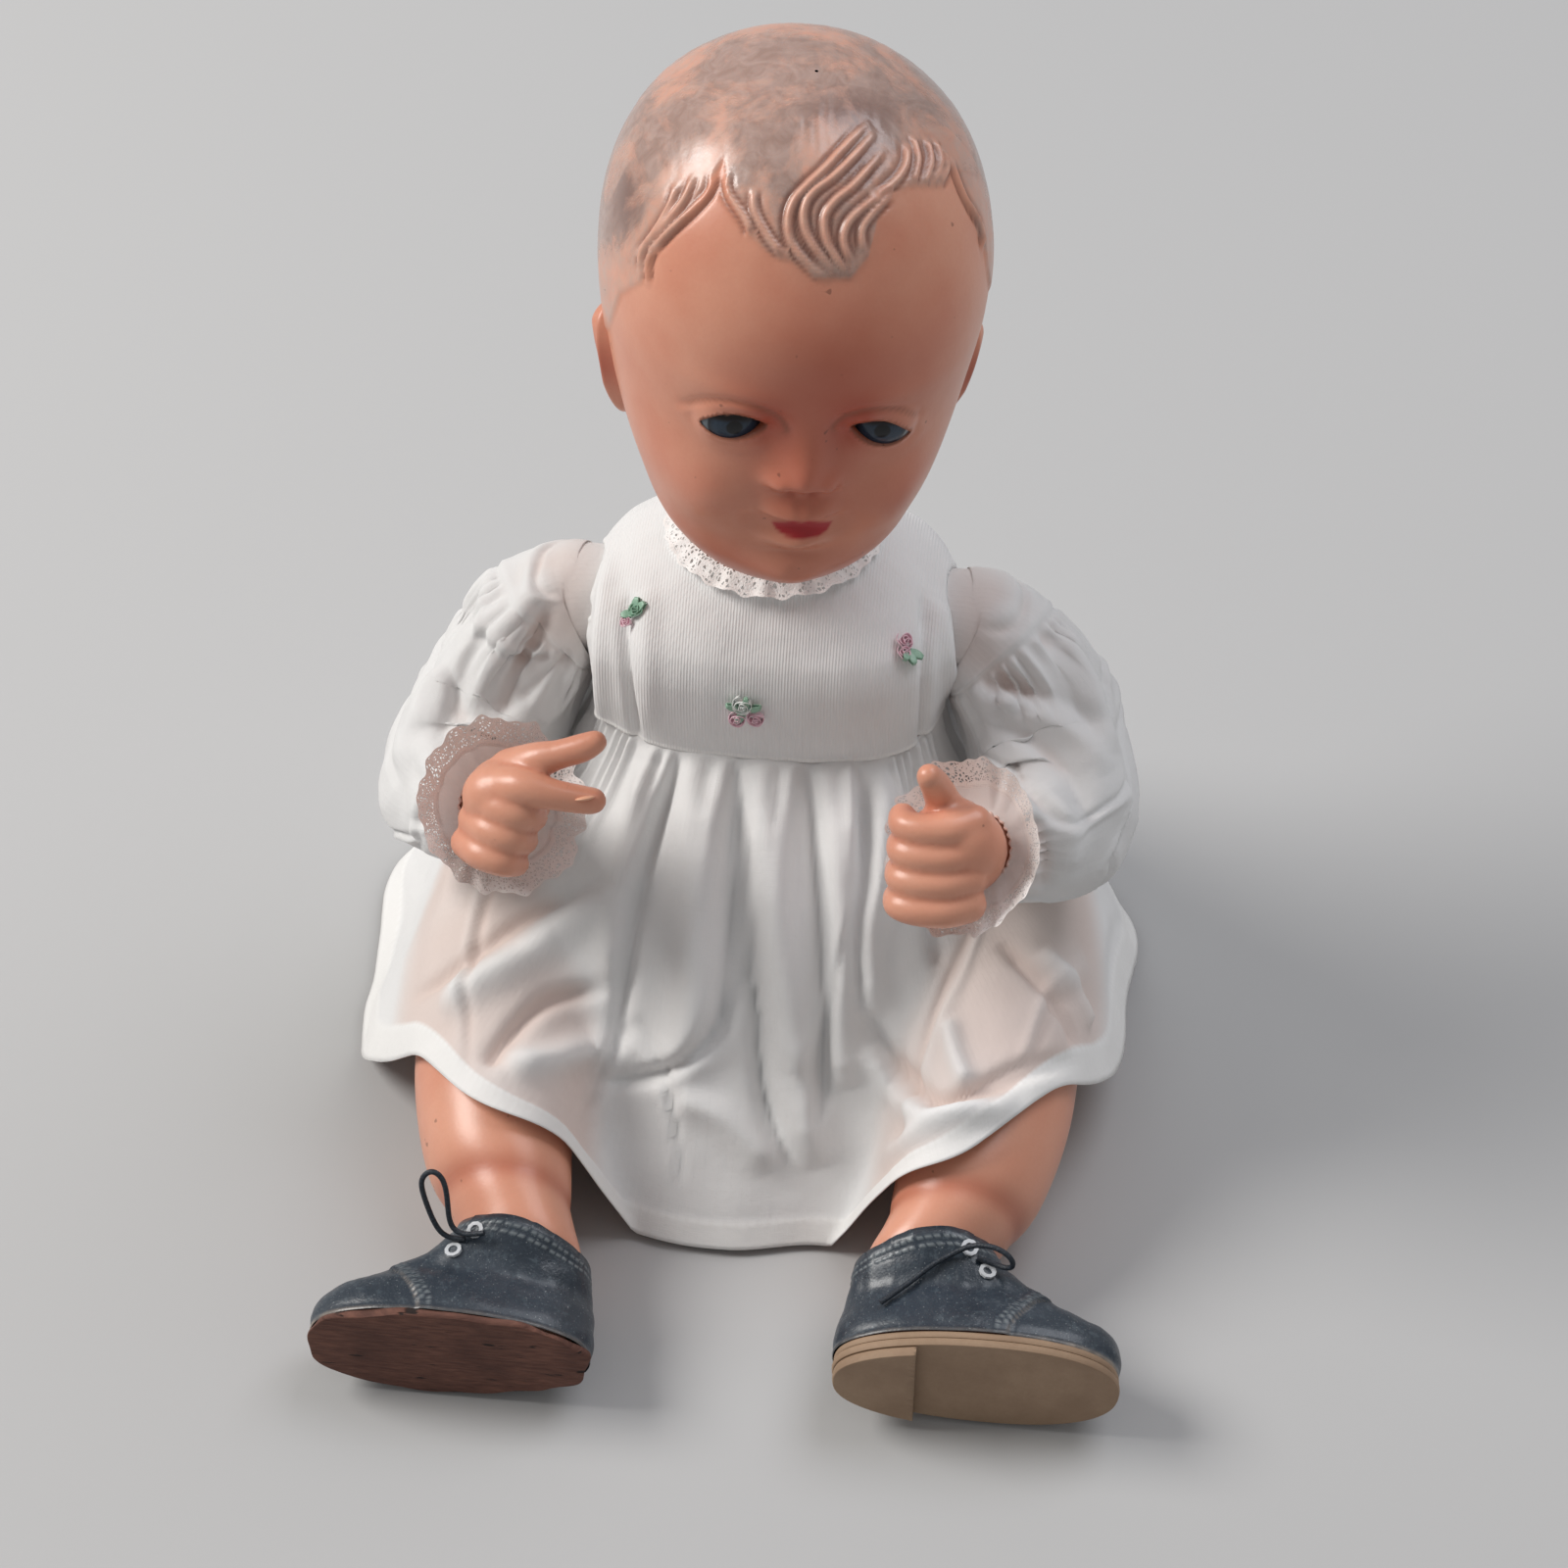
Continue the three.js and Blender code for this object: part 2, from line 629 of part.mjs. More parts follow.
function neckParts() {
  const innerBall = neckBall - neckWall;
  const washerRadius = 9;
  const washerThick = 1.6;
  const washerZ = neckPivot - Math.sqrt(innerBall ** 2 - washerRadius ** 2) + 2 * restGap;
  const washer = ringProfile(elasticRadius + 2 * restGap, washerRadius, washerThick);
  add('neck_washer', turned(washer, v(0, 0, washerZ), v(0, 0, 1), 14), 'steel');
  const wire = 1.2;
  const reach = 8.5; // wide enough for the head to nod
  const low = shoulderHeight - elasticRadius - restGap - wire;
  const seat = washerZ + washerThick + restGap + wire;
  const route = [
    v(-6.5, 0, seat + 0.2),
    v(-2.4, 0, seat + 0.6),
    v(0, 0, seat - 2.2),
    v(0, 0, neckPivot - neckBall - 6),
    v(0, reach * 0.7, shoulderHeight + 13),
    v(0, reach, shoulderHeight + 4),
    v(0, reach * 0.8, low + 0.6),
    v(0, reach * 0.45, low),
    v(0, -reach * 0.45, low),
    v(0, -reach * 0.8, low + 0.6),
    v(0, -reach, shoulderHeight + 4),
  ];
  add('neck_hook', cordTube(route, wire, 6, 3.2), 'steel');
}

// Arms

function finger(points, radius, tip) {
  const last = points.length - 1;
  const rows = points.map((p, i) => [p.x, p.y, p.z, radius + ((tip - radius) * i) / last]);
  const body = closedBody(skin(pathRings(rows, 1, 6, { levelStart: false })));
  return body.add(ball(points[last], [tip, tip, tip], 6, 5));
}

// The right hand points with its first finger; the other fingers are curled under.
function pointingHand(palm) {
  let hand = ball(v(...palm), [12.5, 13, 15], 12, 8);
  hand = hand.add(finger([v(75, -88, 143), v(66, -92, 147), v(55, -93, 144), v(44, -91, 141)], 4.9, 3.7));
  hand = hand.add(finger([v(66, -79, 143), v(58, -81, 149), v(49, -81, 151), v(43, -80, 152)], 4.6, 3.7));
  const nextFinger = v(1.6, -5.2, -5.6);
  for (let k = 0; k < 3; k += 1) {
    const at = (x, y, z) => v(x, y, z).addScaledVector(nextFinger, k);
    hand = hand.add(finger([at(77, -88, 135), at(73, -95, 137), at(66, -98, 136), at(61, -93, 131)], 4.5, 4));
  }
  return hand;
}

// The left hand is a fist with its thumb up.
function fist(palm) {
  let hand = ball(v(...palm), [13, 12.5, 15], 12, 8);
  hand = hand.add(finger([v(59, -80, 137), v(56, -82, 147), v(55, -85, 153)], 5, 4));
  const nextFinger = v(0, 0.55, 0.84).multiplyScalar(8.9);
  for (let k = 0; k < 4; k += 1) {
    const at = (x, y, z) => v(x, y, z).addScaledVector(nextFinger, k - 1.5);
    const route = [at(66, -96, 127), at(56, -99, 127), at(47, -97, 126), at(45, -90, 123)];
    hand = hand.add(finger(route, 4.6, 4.1));
  }
  return hand;
}

// Limbs are shaped for the doll's left side.
function placeLimb(name, side, body) {
  add(name, side < 0 ? body.mirror([1, 0, 0]) : body, 'skin');
}

function arm(side, label, palm, hand) {
  const rows = armRoutes[label];
  const insideRows = rows.map((row, i) => [row[0] + (i === 0 ? armWall : 0), ...row.slice(1)]);
  const outer = closedBody(skin(pathRings([...rows, [...palm, wristRadius]], 1, 12)));
  const hollow = closedBody(skin(pathRings(insideRows, 1, 8, { grow: -armWall })));
  const holeAt = (x) => v(shoulderPlane + restGap + x, 0, shoulderHeight);
  const hole = bar(holeAt(-1), holeAt(2 * armWall), elasticHole, 12);
  placeLimb(`arm_${label}_shell`, side, outer.add(hand).subtract(hollow).subtract(hole));
}

// Shoe sections, which the foot inside follows

function shoeRow(label, [height, back, toe, width, middle], grow) {
  const heelX = shoeHeel + footOut[label] + back * shoeLength - grow;
  const toeX = shoeHeel + footOut[label] + toe * shoeLength + grow;
  return { y: -soleFace[label] + height, heelX, toeX, half: width * shoeHalfWidth + grow, z: middle };
}

function shoeRing(label, station, grow, count) {
  const { y, heelX, toeX, half, z } = shoeRow(label, station, grow);
  const middle = (heelX + toeX) / 2;
  const reach = (toeX - heelX) / 2;
  return Array.from({ length: count }, (_, k) => {
    const angle = (k / count) * Math.PI * 2;
    const c = Math.cos(angle);
    const fuller = 1 + 0.08 * c; // the toe is wider than the heel
    return v(middle + reach * boxed(c, 0.9), y, z + half * fuller * boxed(Math.sin(angle), 0.85));
  });
}

// Legs

// The leg's rows, moved with the foot that they lead to.
function legRowsTo(label) {
  const ankleDepth = -legRows[legRows.length - 1][1];
  const stretch = soleFace[label] / soleFace.right;
  return legRows.map(([x, y, z, a, b]) => {
    return [x + footOut[label] * Math.max(0, -y / ankleDepth), y < 0 ? y * stretch : y, z, a, b];
  });
}

function footRow(label, station, inset) {
  const { y, heelX, toeX, half, z } = shoeRow(label, shoeStations[station], -shoeWall - inset);
  return [(heelX + toeX) / 2, y, z, (toeX - heelX) / 2, half];
}

function legRing([x, y, z, across, high], count) {
  return Array.from({ length: count }, (_, k) => {
    const angle = (k / count) * Math.PI * 2;
    return v(x + across * Math.cos(angle), y, z + high * Math.sin(angle));
  });
}

function leg(side, label) {
  const rows = legRowsTo(label);
  const foot = [5, 4, 3, 2, 1].map((station) => footRow(label, station, footInset));
  const under = footRow(label, 0, footInset + 2);
  under[1] = -soleFace[label] + 1;
  const outer = closedBody(skin([...rows, ...foot, under].map((row) => legRing(row, 14))));
  const plane = hipPlane + restGap;
  const kneeDepth = -rows[rows.length - 3][1];
  const beside = (reach) => { // what lies nearer to the middle than the flat hip face
    const block = new THREE.BoxGeometry(farAway + reach, kneeDepth + farAway, farAway);
    block.translate((reach - farAway) / 2, (farAway - kneeDepth) / 2, hipHeight);
    return closedBody(block);
  };
  const inner = rows.slice(1).map(([x, y, z, a, b]) => legRing([x, y, z, a - legWall, b - legWall], 10));
  const hollow = closedBody(skin(inner)).subtract(beside(plane + legWall));
  const hole = bar(v(plane - 1, 0, hipHeight), v(plane + 2 * legWall, 0, hipHeight), elasticHole, 12);
  placeLimb(`leg_${label}_shell`, side, outer.subtract(beside(plane)).subtract(hollow).subtract(hole));
}

// Shoes

function shoe(side, label, hasSole) {
  const count = 22;
  const outerRings = shoeStations.map((row) => shoeRing(label, row, 0, count));
  const innerRings = shoeStations.map((row) => shoeRing(label, row, -shoeWall, count));
  const upper = skin([...outerRings, ...innerRings.reverse()], true);
  add(`shoe_${label}_upper`, side < 0 ? mirrored(upper) : upper, 'leather');
  const slab = (piece, from, thick, grow, finish, keepLength = shoeLength * 2) => {
    const bottom = shoeStations[0].slice(1);
    const rings = [from, from + thick].map((depth) => shoeRing(label, [-depth, ...bottom], grow, count));
    const keep = new THREE.BoxGeometry(keepLength * 2, farAway * 3, farAway);
    keep.translate(shoeHeel + footOut[label], 0, 0);
    const body = closedBody(skin(rings)).intersect(closedBody(keep));
    add(`shoe_${label}_${piece}`, side < 0 ? body.mirror([1, 0, 0]) : body, finish);
  };
  slab('board', restGap, boardThick, 1, 'board');
  if (hasSole) {
    slab('sole', 2 * restGap + boardThick, soleThick, 1.2, 'sole');
    slab('heel', 3 * restGap + boardThick + soleThick, heelThick, 0.8, 'sole', heelLength);
  }
}

// A point on the shoe's upper side: its place along the shoe and its height above the sole seam.
function onShoe(label, along, height, off) {
  const { y, heelX, toeX, half, z } = shoeRow(label, stationAt(shoeStations, height), 0);
  const x = along + footOut[label];
  const share = Math.min(1, Math.abs(x - (heelX + toeX) / 2) / ((toeX - heelX) / 2)) ** (1 / 0.9);
  return v(x, y, z + half * Math.sqrt(1 - share * share) ** 0.85 + off);
}

function eyelets(side, label) {
  for (const [which, along, height] of eyeletPlaces) {
    const here = onShoe(label, along, height, 0);
    const alongShoe = onShoe(label, along + 1, height, 0).sub(here);
    const upShoe = onShoe(label, along, height + 1, 0).sub(here);
    const normal = new THREE.Vector3().crossVectors(upShoe, alongShoe).normalize();
    if (normal.z < 0) normal.negate();
    const base = here.addScaledVector(normal, eyeletLift);
    const profile = ringProfile(eyeletInner, eyeletOuter, eyeletThick);
    const place = v(side * base.x, base.y, base.z);
    const facing = v(side * normal.x, normal.y, normal.z);
    add(`eyelet_${label}_${which}`, turned(profile, place, facing, 10), 'eyelet');
  }
}

function lace(side, label) {
  const points = laceRoutes[label].map(([along, height, off]) => {
    const p = onShoe(label, along, height, off + laceRadius + restGap);
    return v(side * p.x, p.y, p.z);
  });
  add(`lace_${label}`, cordTube(points, laceRadius, 8, laceRadius * 5), 'cord');
}

// Dress

function bodice() {
  const ring = ([z, w, f, b, boxy], grow) => levelRing(z, w + grow, f + grow, b + grow, 26, boxy);
  const outer = bodiceStations.map((row) => ring(row, clothThick));
  const inner = bodiceStations.map((row) => ring(row, 0));
  let body = closedBody(skin([...outer, ...inner.reverse()], true));
  for (const side of [-1, 1]) {
    const from = v(side * (shoulderPlane - 8), 0, shoulderHeight);
    body = body.subtract(bar(from, v(side * farAway, 0, shoulderHeight), armhole, 24));
  }
  add('dress_bodice', body, 'cloth');
}

// A sleeve hangs round its arm: loose at the shoulder, baggy at the elbow and drawn in at the wrist.
function sleeveRows(label) {
  const [first, , bend, upper, elbow, fore, narrow, wrist, hand] = armRoutes[label];
  const around = (row, x, y, z, radius) => [row[0] + x, row[1] + y, row[2] + z, radius];
  return [
    [armSeam, first[1], first[2] - 0.5, armhole + 1],
    [armSeam + 3, first[1], first[2] - 1.5, armhole + 2],
    around(bend, 4, -1, -1, armhole + 2.5),
    around(upper, 4, -2, -3, sleeveBag - 2.5),
    around(elbow, 3, -2, -3, sleeveBag),
    around(fore, 3, -2, -1, sleeveBag - 1),
    around(narrow, 2, -1, 0, wristRadius * 2),
    around(wrist, 0, 0, 0, wristRadius + 5),
    around(hand, 0, 0, 0, wristRadius + sleeveEnd),
  ];
}

const sleeveLines = { right: sleeveRows('right'), left: sleeveRows('left') };

// Height of the underside of the sleeve above a place.
function underSleeve(x, y) {
  const fine = smoothStations(x < 0 ? sleeveLines.right : sleeveLines.left, 4);
  return fine.reduce((lowest, [sx, sy, sz, radius]) => {
    const away = Math.hypot(Math.abs(x) - sx, y - sy);
    const reach = radius + sleeveEase;
    return away < reach ? Math.min(lowest, sz - Math.sqrt(reach ** 2 - away ** 2)) : lowest;
  }, farAway);
}

const legLines = { right: legRowsTo('right'), left: legRowsTo('left') };

// Height of the cloth that lies over one leg, and falls to the floor beside it.
function overLeg(x, y) {
  const rows = (x < 0 ? legLines.right : legLines.left).map(([rx, ry, ...rest]) => [-ry, rx, ...rest]);
  const last = rows[rows.length - 1][0];
  const [, middle, height, , half] = stationAt(rows, Math.min(Math.max(-y, rows[0][0]), last));
  const away = Math.abs(Math.abs(x) - middle);
  const radius = half + skirtEase;
  const bend = radius * 0.9;
  const falling = Math.sqrt(radius ** 2 - Math.min(away, bend) ** 2);
  return height + falling - 2.1 * Math.max(0, away - bend);
}

// A point of the skirt: the angle is 0 in front, and t runs from the waist to the hem.
function skirtPoint(angle, t) {
  const [, halfWidth, front, behind, boxy] = bodiceStations[0];
  const s = Math.sin(angle);
  const c = Math.cos(angle);
  const waistX = (halfWidth - clothThick / 2) * boxed(s, boxy);
  const waistY = (behind - front) / 2 - ((behind + front + clothThick) / 2) * boxed(c, boxy);
  const hemX = hemShift + hemWidth * boxed(s, 0.88);
  const overLegs = Math.exp(-(((Math.abs(hemX) - hemOverAt) / hemOverHalf) ** 2)) * Math.max(0, c);
  const further = (hemX < 0 ? hemOver.right : hemOver.left) * overLegs;
  const hemY = hemCentre - (c > 0 ? hemFront : hemBack) * boxed(c, 0.82) - further;
  const spread = t ** (0.92 + 0.55 * s * s); // it hangs straighter under the arms
  const wave = 0.5 + 0.5 * Math.cos(11 * angle + 0.9 * Math.sin(3 * angle));
  const full = 4 * Math.sin(Math.PI * Math.min(1, t * 1.6)) + 4.5 * t * wave;
  const puff = full * Math.min(1, t * 5) * (1 - s * s * Math.max(0, 1 - 4 * t));
  const x = waistX + (hemX - waistX) * spread + s * puff;
  const y = waistY + (hemY - waistY) * spread - c * puff;
  const top = waistHeight - restGap;
  const drape = top - (top - hemLift) * t ** 1.02;
  const legTop = overLeg(x, y) + 2 * t * wave;
  const soft = 5;
  const near = Math.exp(-Math.abs(drape - legTop) / (2 * soft)) * Math.min(1, 4 * t * (1 - t));
  const cloth = Math.max(Math.max(drape, legTop) + soft * near, hemLift);
  return v(x, y, Math.min(cloth, underSleeve(x, y)));
}

function skirt() {
  const around = 44;
  const down = 9;
  const step = 1e-3;
  const floorGap = 0.4;
  const pointOf = (offset, r, k) => {
    const angle = (k / around) * Math.PI * 2;
    const t = r / down;
    const p = skirtPoint(angle, t);
    const aroundWay = skirtPoint(angle + step, t).sub(skirtPoint(angle - step, t));
    const downWay = skirtPoint(angle, Math.min(t + step, 1)).sub(skirtPoint(angle, Math.max(t - step, 0)));
    p.addScaledVector(new THREE.Vector3().crossVectors(downWay, aroundWay).normalize(), offset);
    p.z = r === 0 ? waistHeight - restGap : Math.max(p.z, floorGap);
    return p;
  };
  const face = (offset) => Array.from({ length: down + 1 }, (_, r) => {
    return Array.from({ length: around }, (__, k) => pointOf(offset, r, k));
  });
  const inner = face(-clothThick / 2);
  add('dress_skirt', skin([...face(clothThick / 2), ...inner.reverse()], true), 'cloth');
}

function sleeve(side, label) {
  const wave = (angle, t) => 1.6 * Math.sin(Math.PI * t) * Math.cos(5 * angle + 6 * t);
  const outer = pathRings(sleeveLines[label], 2, 14, { wave });
  const inner = pathRings(sleeveLines[label], 2, 14, { wave, grow: -clothThick });
  const body = skin([...outer, ...inner.reverse()], true);
  add(`sleeve_${label}`, side < 0 ? mirrored(body) : body, 'cloth');
}

// A frill of lace stands round the wrist, past the end of the sleeve.
function cuff(side, label) {
  const route = armRoutes[label].map(([x, y, z]) => v(x, y, z));
  const end = route[route.length - 1];
  const along = end.clone().sub(route[route.length - 2]).normalize();
  const base = wristRadius + sleeveEnd;
  const stations = [[cuffGap, base], [3.5, base + 3], [cuffLength, base + cuffFlare]];
  const rings = (grow) => stations.map(([distance, radius], i) => {
    const wave = (angle) => radius + grow + 0.75 * i * Math.cos(9 * angle);
    return roundRing(end.clone().addScaledVector(along, distance), along, v(0, 1, 0), wave, 27);
  });
  const body = skin([...rings(0), ...rings(-laceThick).reverse()], true);
  add(`cuff_lace_${label}`, side < 0 ? mirrored(body) : body, 'lace');
}

function neckLace() {
  const count = 30;
  const top = bodiceTop + restGap + 0.5;
  const ring = (radius, height, lift) => Array.from({ length: count }, (_, k) => {
    const angle = (k / count) * Math.PI * 2;
    return v(radius * Math.sin(angle), -radius * Math.cos(angle), height + lift * Math.cos(10 * angle));
  });
  const outerRadius = neckLaceInner + neckLaceWidth;
  const middleRadius = neckLaceInner + neckLaceWidth / 2;
  const rings = [
    ring(neckLaceInner, top + laceThick, 0),
    ring(middleRadius, top + laceThick + 1, 0.5),
    ring(outerRadius, top + laceThick - 1, 1.1),
    ring(outerRadius, top - 1, 1.1),
    ring(middleRadius, top + 1, 0.5),
    ring(neckLaceInner, top, 0),
  ];
  add('neck_lace', skin(rings, true), 'lace');
}

// A point on the outside of the bodice's front or back, and the way that it faces.
function onBodice(x, z, facing) {
  const place = (px, pz) => {
    const [, w, f, b, boxy] = stationAt(bodiceStations, pz);
    const s = Math.min(1, Math.abs(px) / (w + clothThick)) ** (1 / boxy);
    const depth = (b + f) / 2 + clothThick;
    return v(px, (b - f) / 2 + facing * depth * Math.sqrt(1 - s * s) ** boxy, pz);
  };
  const along = place(x + 0.5, z).sub(place(x - 0.5, z));
  const up = place(x, z + 0.5).sub(place(x, z - 0.5));
  return [place(x, z), new THREE.Vector3().crossVectors(along, up).multiplyScalar(-facing).normalize()];
}

// Each rosette is a ribbon bud on two ribbon leaves, sewn to a place on the bodice front.
// The lift keeps the flat leaves off the round cloth.
function rosette(label, x, z, size, leafTurn, lift) {
  const [surface, normal] = onBodice(x, z, -1);
  const leafLength = size * 0.9;
  const lean = v(Math.cos(leafTurn), 0, Math.sin(leafTurn));
  lean.addScaledVector(normal, -lean.dot(normal)).normalize();
  const across = new THREE.Vector3().crossVectors(normal, lean);
  const outline = new THREE.Shape();
  outline.moveTo(-leafLength, 0);
  outline.quadraticCurveTo(0, size * 0.75, leafLength, 0);
  outline.quadraticCurveTo(0, -size * 0.75, -leafLength, 0);
  const depth = leafThick;
  const leaf = new THREE.ExtrudeGeometry(outline, { depth, bevelEnabled: false, curveSegments: 5 });
  const leafBase = surface.addScaledVector(normal, lift);
  leaf.applyMatrix4(new THREE.Matrix4().makeBasis(lean, across, normal).setPosition(leafBase));
  add(`rosette_${label}_leaf`, leaf, 'leaf');
  const radius = size * 0.42;
  const bud = turned([
    [0, 0],
    [radius * 0.8, 0],
    [radius, radius * 0.45],
    [radius * 0.85, radius * 0.95],
    [radius * 0.6, radius * 0.8],
    [radius * 0.35, radius * 1.05],
    [0, radius * 0.85],
  ], leafBase.clone().addScaledVector(normal, leafThick + restGap), normal, 10);
  add(`rosette_${label}_bud`, bud, 'bud');
}

function backButton(label, z) {
  const [surface, normal] = onBodice(0, z, 1);
  const profile = [
    [0, 0],
    [buttonRadius, 0],
    [buttonRadius, buttonThick * 0.6],
    [buttonRadius * 0.7, buttonThick],
    [0, buttonThick * 0.7],
  ];
  const base = surface.addScaledVector(normal, 2 * restGap);
  add(`back_button_${label}`, turned(profile, base, normal, 12), 'button');
}

torso();
elastic('arm_elastic', shoulderHeight, shoulderPlane, armWall);
elastic('leg_elastic', hipHeight, hipPlane, legWall);
head();
eyes();
neckParts();
arm(-1, 'right', palms.right, pointingHand(palms.right));
arm(1, 'left', palms.left, fist(palms.left));
for (const [side, label] of [[-1, 'right'], [1, 'left']]) {
  toggle(`arm_toggle_${label}`, side, shoulderHeight, shoulderPlane, armWall);
  toggle(`leg_toggle_${label}`, side, hipHeight, hipPlane, legWall);
  leg(side, label);
  shoe(side, label, side > 0);
  eyelets(side, label);
  lace(side, label);
  sleeve(side, label);
  cuff(side, label);
}
bodice();
skirt();
neckLace();
rosette('front', -4, 142, 9, 0.6, 0.9);
rosette('left', 44, 156, 7, 2.2, 0.25);
rosette('right', -40, 160, 6, 0.9, 0.25);
backButton('upper', 160);
backButton('lower', 136);

export default doll;
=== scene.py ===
import bpy
import bmesh
import math
from mathutils import Matrix, Vector, noise
from mathutils.bvhtree import BVHTree
from mathutils.kdtree import KDTree


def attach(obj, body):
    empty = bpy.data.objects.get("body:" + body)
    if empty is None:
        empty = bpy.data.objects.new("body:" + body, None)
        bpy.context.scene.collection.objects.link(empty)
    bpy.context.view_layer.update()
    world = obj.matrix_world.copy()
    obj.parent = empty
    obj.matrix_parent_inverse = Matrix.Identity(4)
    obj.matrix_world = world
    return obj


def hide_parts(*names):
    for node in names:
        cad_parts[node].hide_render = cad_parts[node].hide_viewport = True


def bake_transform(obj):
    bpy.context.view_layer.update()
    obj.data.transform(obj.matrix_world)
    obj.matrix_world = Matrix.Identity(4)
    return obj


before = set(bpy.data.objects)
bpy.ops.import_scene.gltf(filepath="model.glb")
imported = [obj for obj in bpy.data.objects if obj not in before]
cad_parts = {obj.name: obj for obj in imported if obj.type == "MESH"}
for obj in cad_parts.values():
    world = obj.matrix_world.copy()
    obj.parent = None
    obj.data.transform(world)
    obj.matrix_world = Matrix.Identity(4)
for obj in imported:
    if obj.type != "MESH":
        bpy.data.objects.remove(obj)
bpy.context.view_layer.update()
mm = 0.001

# the photograph looks down from in front; it is 1600 pixels square
camera = {
    "azimuth": math.radians(6),
    "elevation": math.radians(45),
    "distance": 1.1,
    "target": Vector((0, -0.06, 0.13)),
    "lens": 81.7,
    "sensor": 36,
    "shift": (0.0188, -0.0156),
    "photo": 1600,
}


def cameraPlace():
    az, el = camera["azimuth"], camera["elevation"]
    away = Vector((math.sin(az) * math.cos(el), -math.cos(az) * math.cos(el), math.sin(el)))
    return camera["target"] + away * camera["distance"]


def makeCamera():
    data = bpy.data.cameras.new("camera")
    data.lens = camera["lens"]
    data.sensor_width = camera["sensor"]
    data.shift_x, data.shift_y = camera["shift"]
    obj = bpy.data.objects.new("camera", data)
    obj.location = cameraPlace()
    obj.rotation_euler = (camera["target"] - obj.location).to_track_quat("-Z", "Y").to_euler()
    bpy.context.scene.collection.objects.link(obj)
    bpy.context.scene.camera = obj
    return obj


cameraObject = makeCamera()
bpy.context.view_layer.update()
cameraTurn = cameraObject.matrix_world.to_3x3()


# the line of sight through a pixel of the photo, and where it meets a surface
def sight(px, py):
    half = camera["photo"] / 2
    scale = camera["sensor"] / camera["lens"] / camera["photo"]
    x = (px - half) * scale + camera["shift"][0] * camera["sensor"] / camera["lens"]
    y = (half - py) * scale + camera["shift"][1] * camera["sensor"] / camera["lens"]
    return (cameraTurn @ Vector((x, y, -1))).normalized()


def onSurface(tree, px, py):
    return tree.ray_cast(cameraPlace(), sight(px, py))[0]


# the pixel of the photo where a point in space shows
def inPhoto(p):
    q = cameraTurn.transposed() @ (p - cameraPlace())
    half = camera["photo"] / 2
    scale = camera["lens"] / camera["sensor"] * camera["photo"]
    x = half + (-q.x / q.z) * scale - camera["shift"][0] * camera["photo"]
    y = half - (-q.y / q.z) * scale + camera["shift"][1] * camera["photo"]
    return x, y


# small helpers for numbers
def smooth(low, high, value):
    t = max(0.0, min(1.0, (value - low) / (high - low)))
    return t * t * (3 - 2 * t)


def mix(a, b, t):
    return a + (b - a) * t


def bell(d, width):
    return math.exp(-(d / width) ** 2)


def boxed(value, power):
    return math.copysign(abs(value) ** power, value)


# a smooth way through rows of numbers, from the first at t = 0 to the last at 1
def catmull(rows, t):
    place = max(0.0, min(1.0, t)) * (len(rows) - 1)
    i = min(int(place), len(rows) - 2)
    f = place - i
    a, b, c, d = (rows[max(0, min(len(rows) - 1, k))] for k in (i - 1, i, i + 1, i + 2))
    out = []
    for p, q, r, s in zip(a, b, c, d):
        bend = (2 * p - 5 * q + 4 * r - s) * f * f
        twist = (3 * q - p - 3 * r + s) * f * f * f
        out.append((2 * q + (r - p) * f + bend + twist) / 2)
    return out


# the row before a value, and how far the value is towards the next one
def spanAt(rows, value):
    i = 0
    while i < len(rows) - 2 and rows[i + 1][0] < value:
        i += 1
    return i, (value - rows[i][0]) / (rows[i + 1][0] - rows[i][0])


def rowAt(rows, value):
    i, t = spanAt(rows, value)
    return [mix(a, b, t) for a, b in zip(rows[i], rows[i + 1])]


# the same, without corners where the sections meet
def smoothRowAt(rows, value):
    i, t = spanAt(rows, value)
    return catmull(rows, (i + t) / (len(rows) - 1))


# nodes and colours
def srgb(code):
    parts = [int(code[i:i + 2], 16) / 255 for i in (1, 3, 5)]
    return tuple(c / 12.92 if c <= 0.04045 else ((c + 0.055) / 1.055) ** 2.4 for c in parts) + (1.0,)


def addNode(tree, kind, settings=None, inputs=None):
    node = tree.nodes.new(kind)
    for name, value in (settings or {}).items():
        setattr(node, name, value)
    for key, value in (inputs or {}).items():
        if isinstance(value, bpy.types.NodeSocket):
            tree.links.new(value, node.inputs[key])
        else:
            node.inputs[key].default_value = value
    return node


def blendColour(tree, factor, a, b):
    return addNode(tree, "ShaderNodeMix", {"data_type": "RGBA"}, {0: factor, 6: a, 7: b}).outputs[2]


def sums(tree, operation, a, b=0.0, clamp=False):
    node = addNode(tree, "ShaderNodeMath", {"operation": operation, "use_clamp": clamp}, {0: a, 1: b})
    return node.outputs[0]


def ramp(tree, factor, stops):
    node = addNode(tree, "ShaderNodeValToRGB", None, {0: factor})
    while len(node.color_ramp.elements) < len(stops):
        node.color_ramp.elements.new(0.5)
    for element, (place, colour) in zip(node.color_ramp.elements, stops):
        element.position = place
        element.color = colour if not isinstance(colour, (int, float)) else (colour, colour, colour, 1)
    return node.outputs[0]


def noiseAt(tree, place, scale, detail=4, roughness=0.55, distortion=0.0):
    inputs = {"Vector": place, "Scale": scale, "Detail": detail}
    inputs.update({"Roughness": roughness, "Distortion": distortion})
    return addNode(tree, "ShaderNodeTexNoise", None, inputs).outputs[0]


def painted(tree, name):
    return addNode(tree, "ShaderNodeAttribute", {"attribute_name": name}).outputs["Fac"]


def bump(tree, height, distance, strength=1.0, after=None):
    inputs = {"Height": height, "Distance": distance, "Strength": strength}
    if after is not None:
        inputs["Normal"] = after
    return addNode(tree, "ShaderNodeBump", None, inputs).outputs[0]


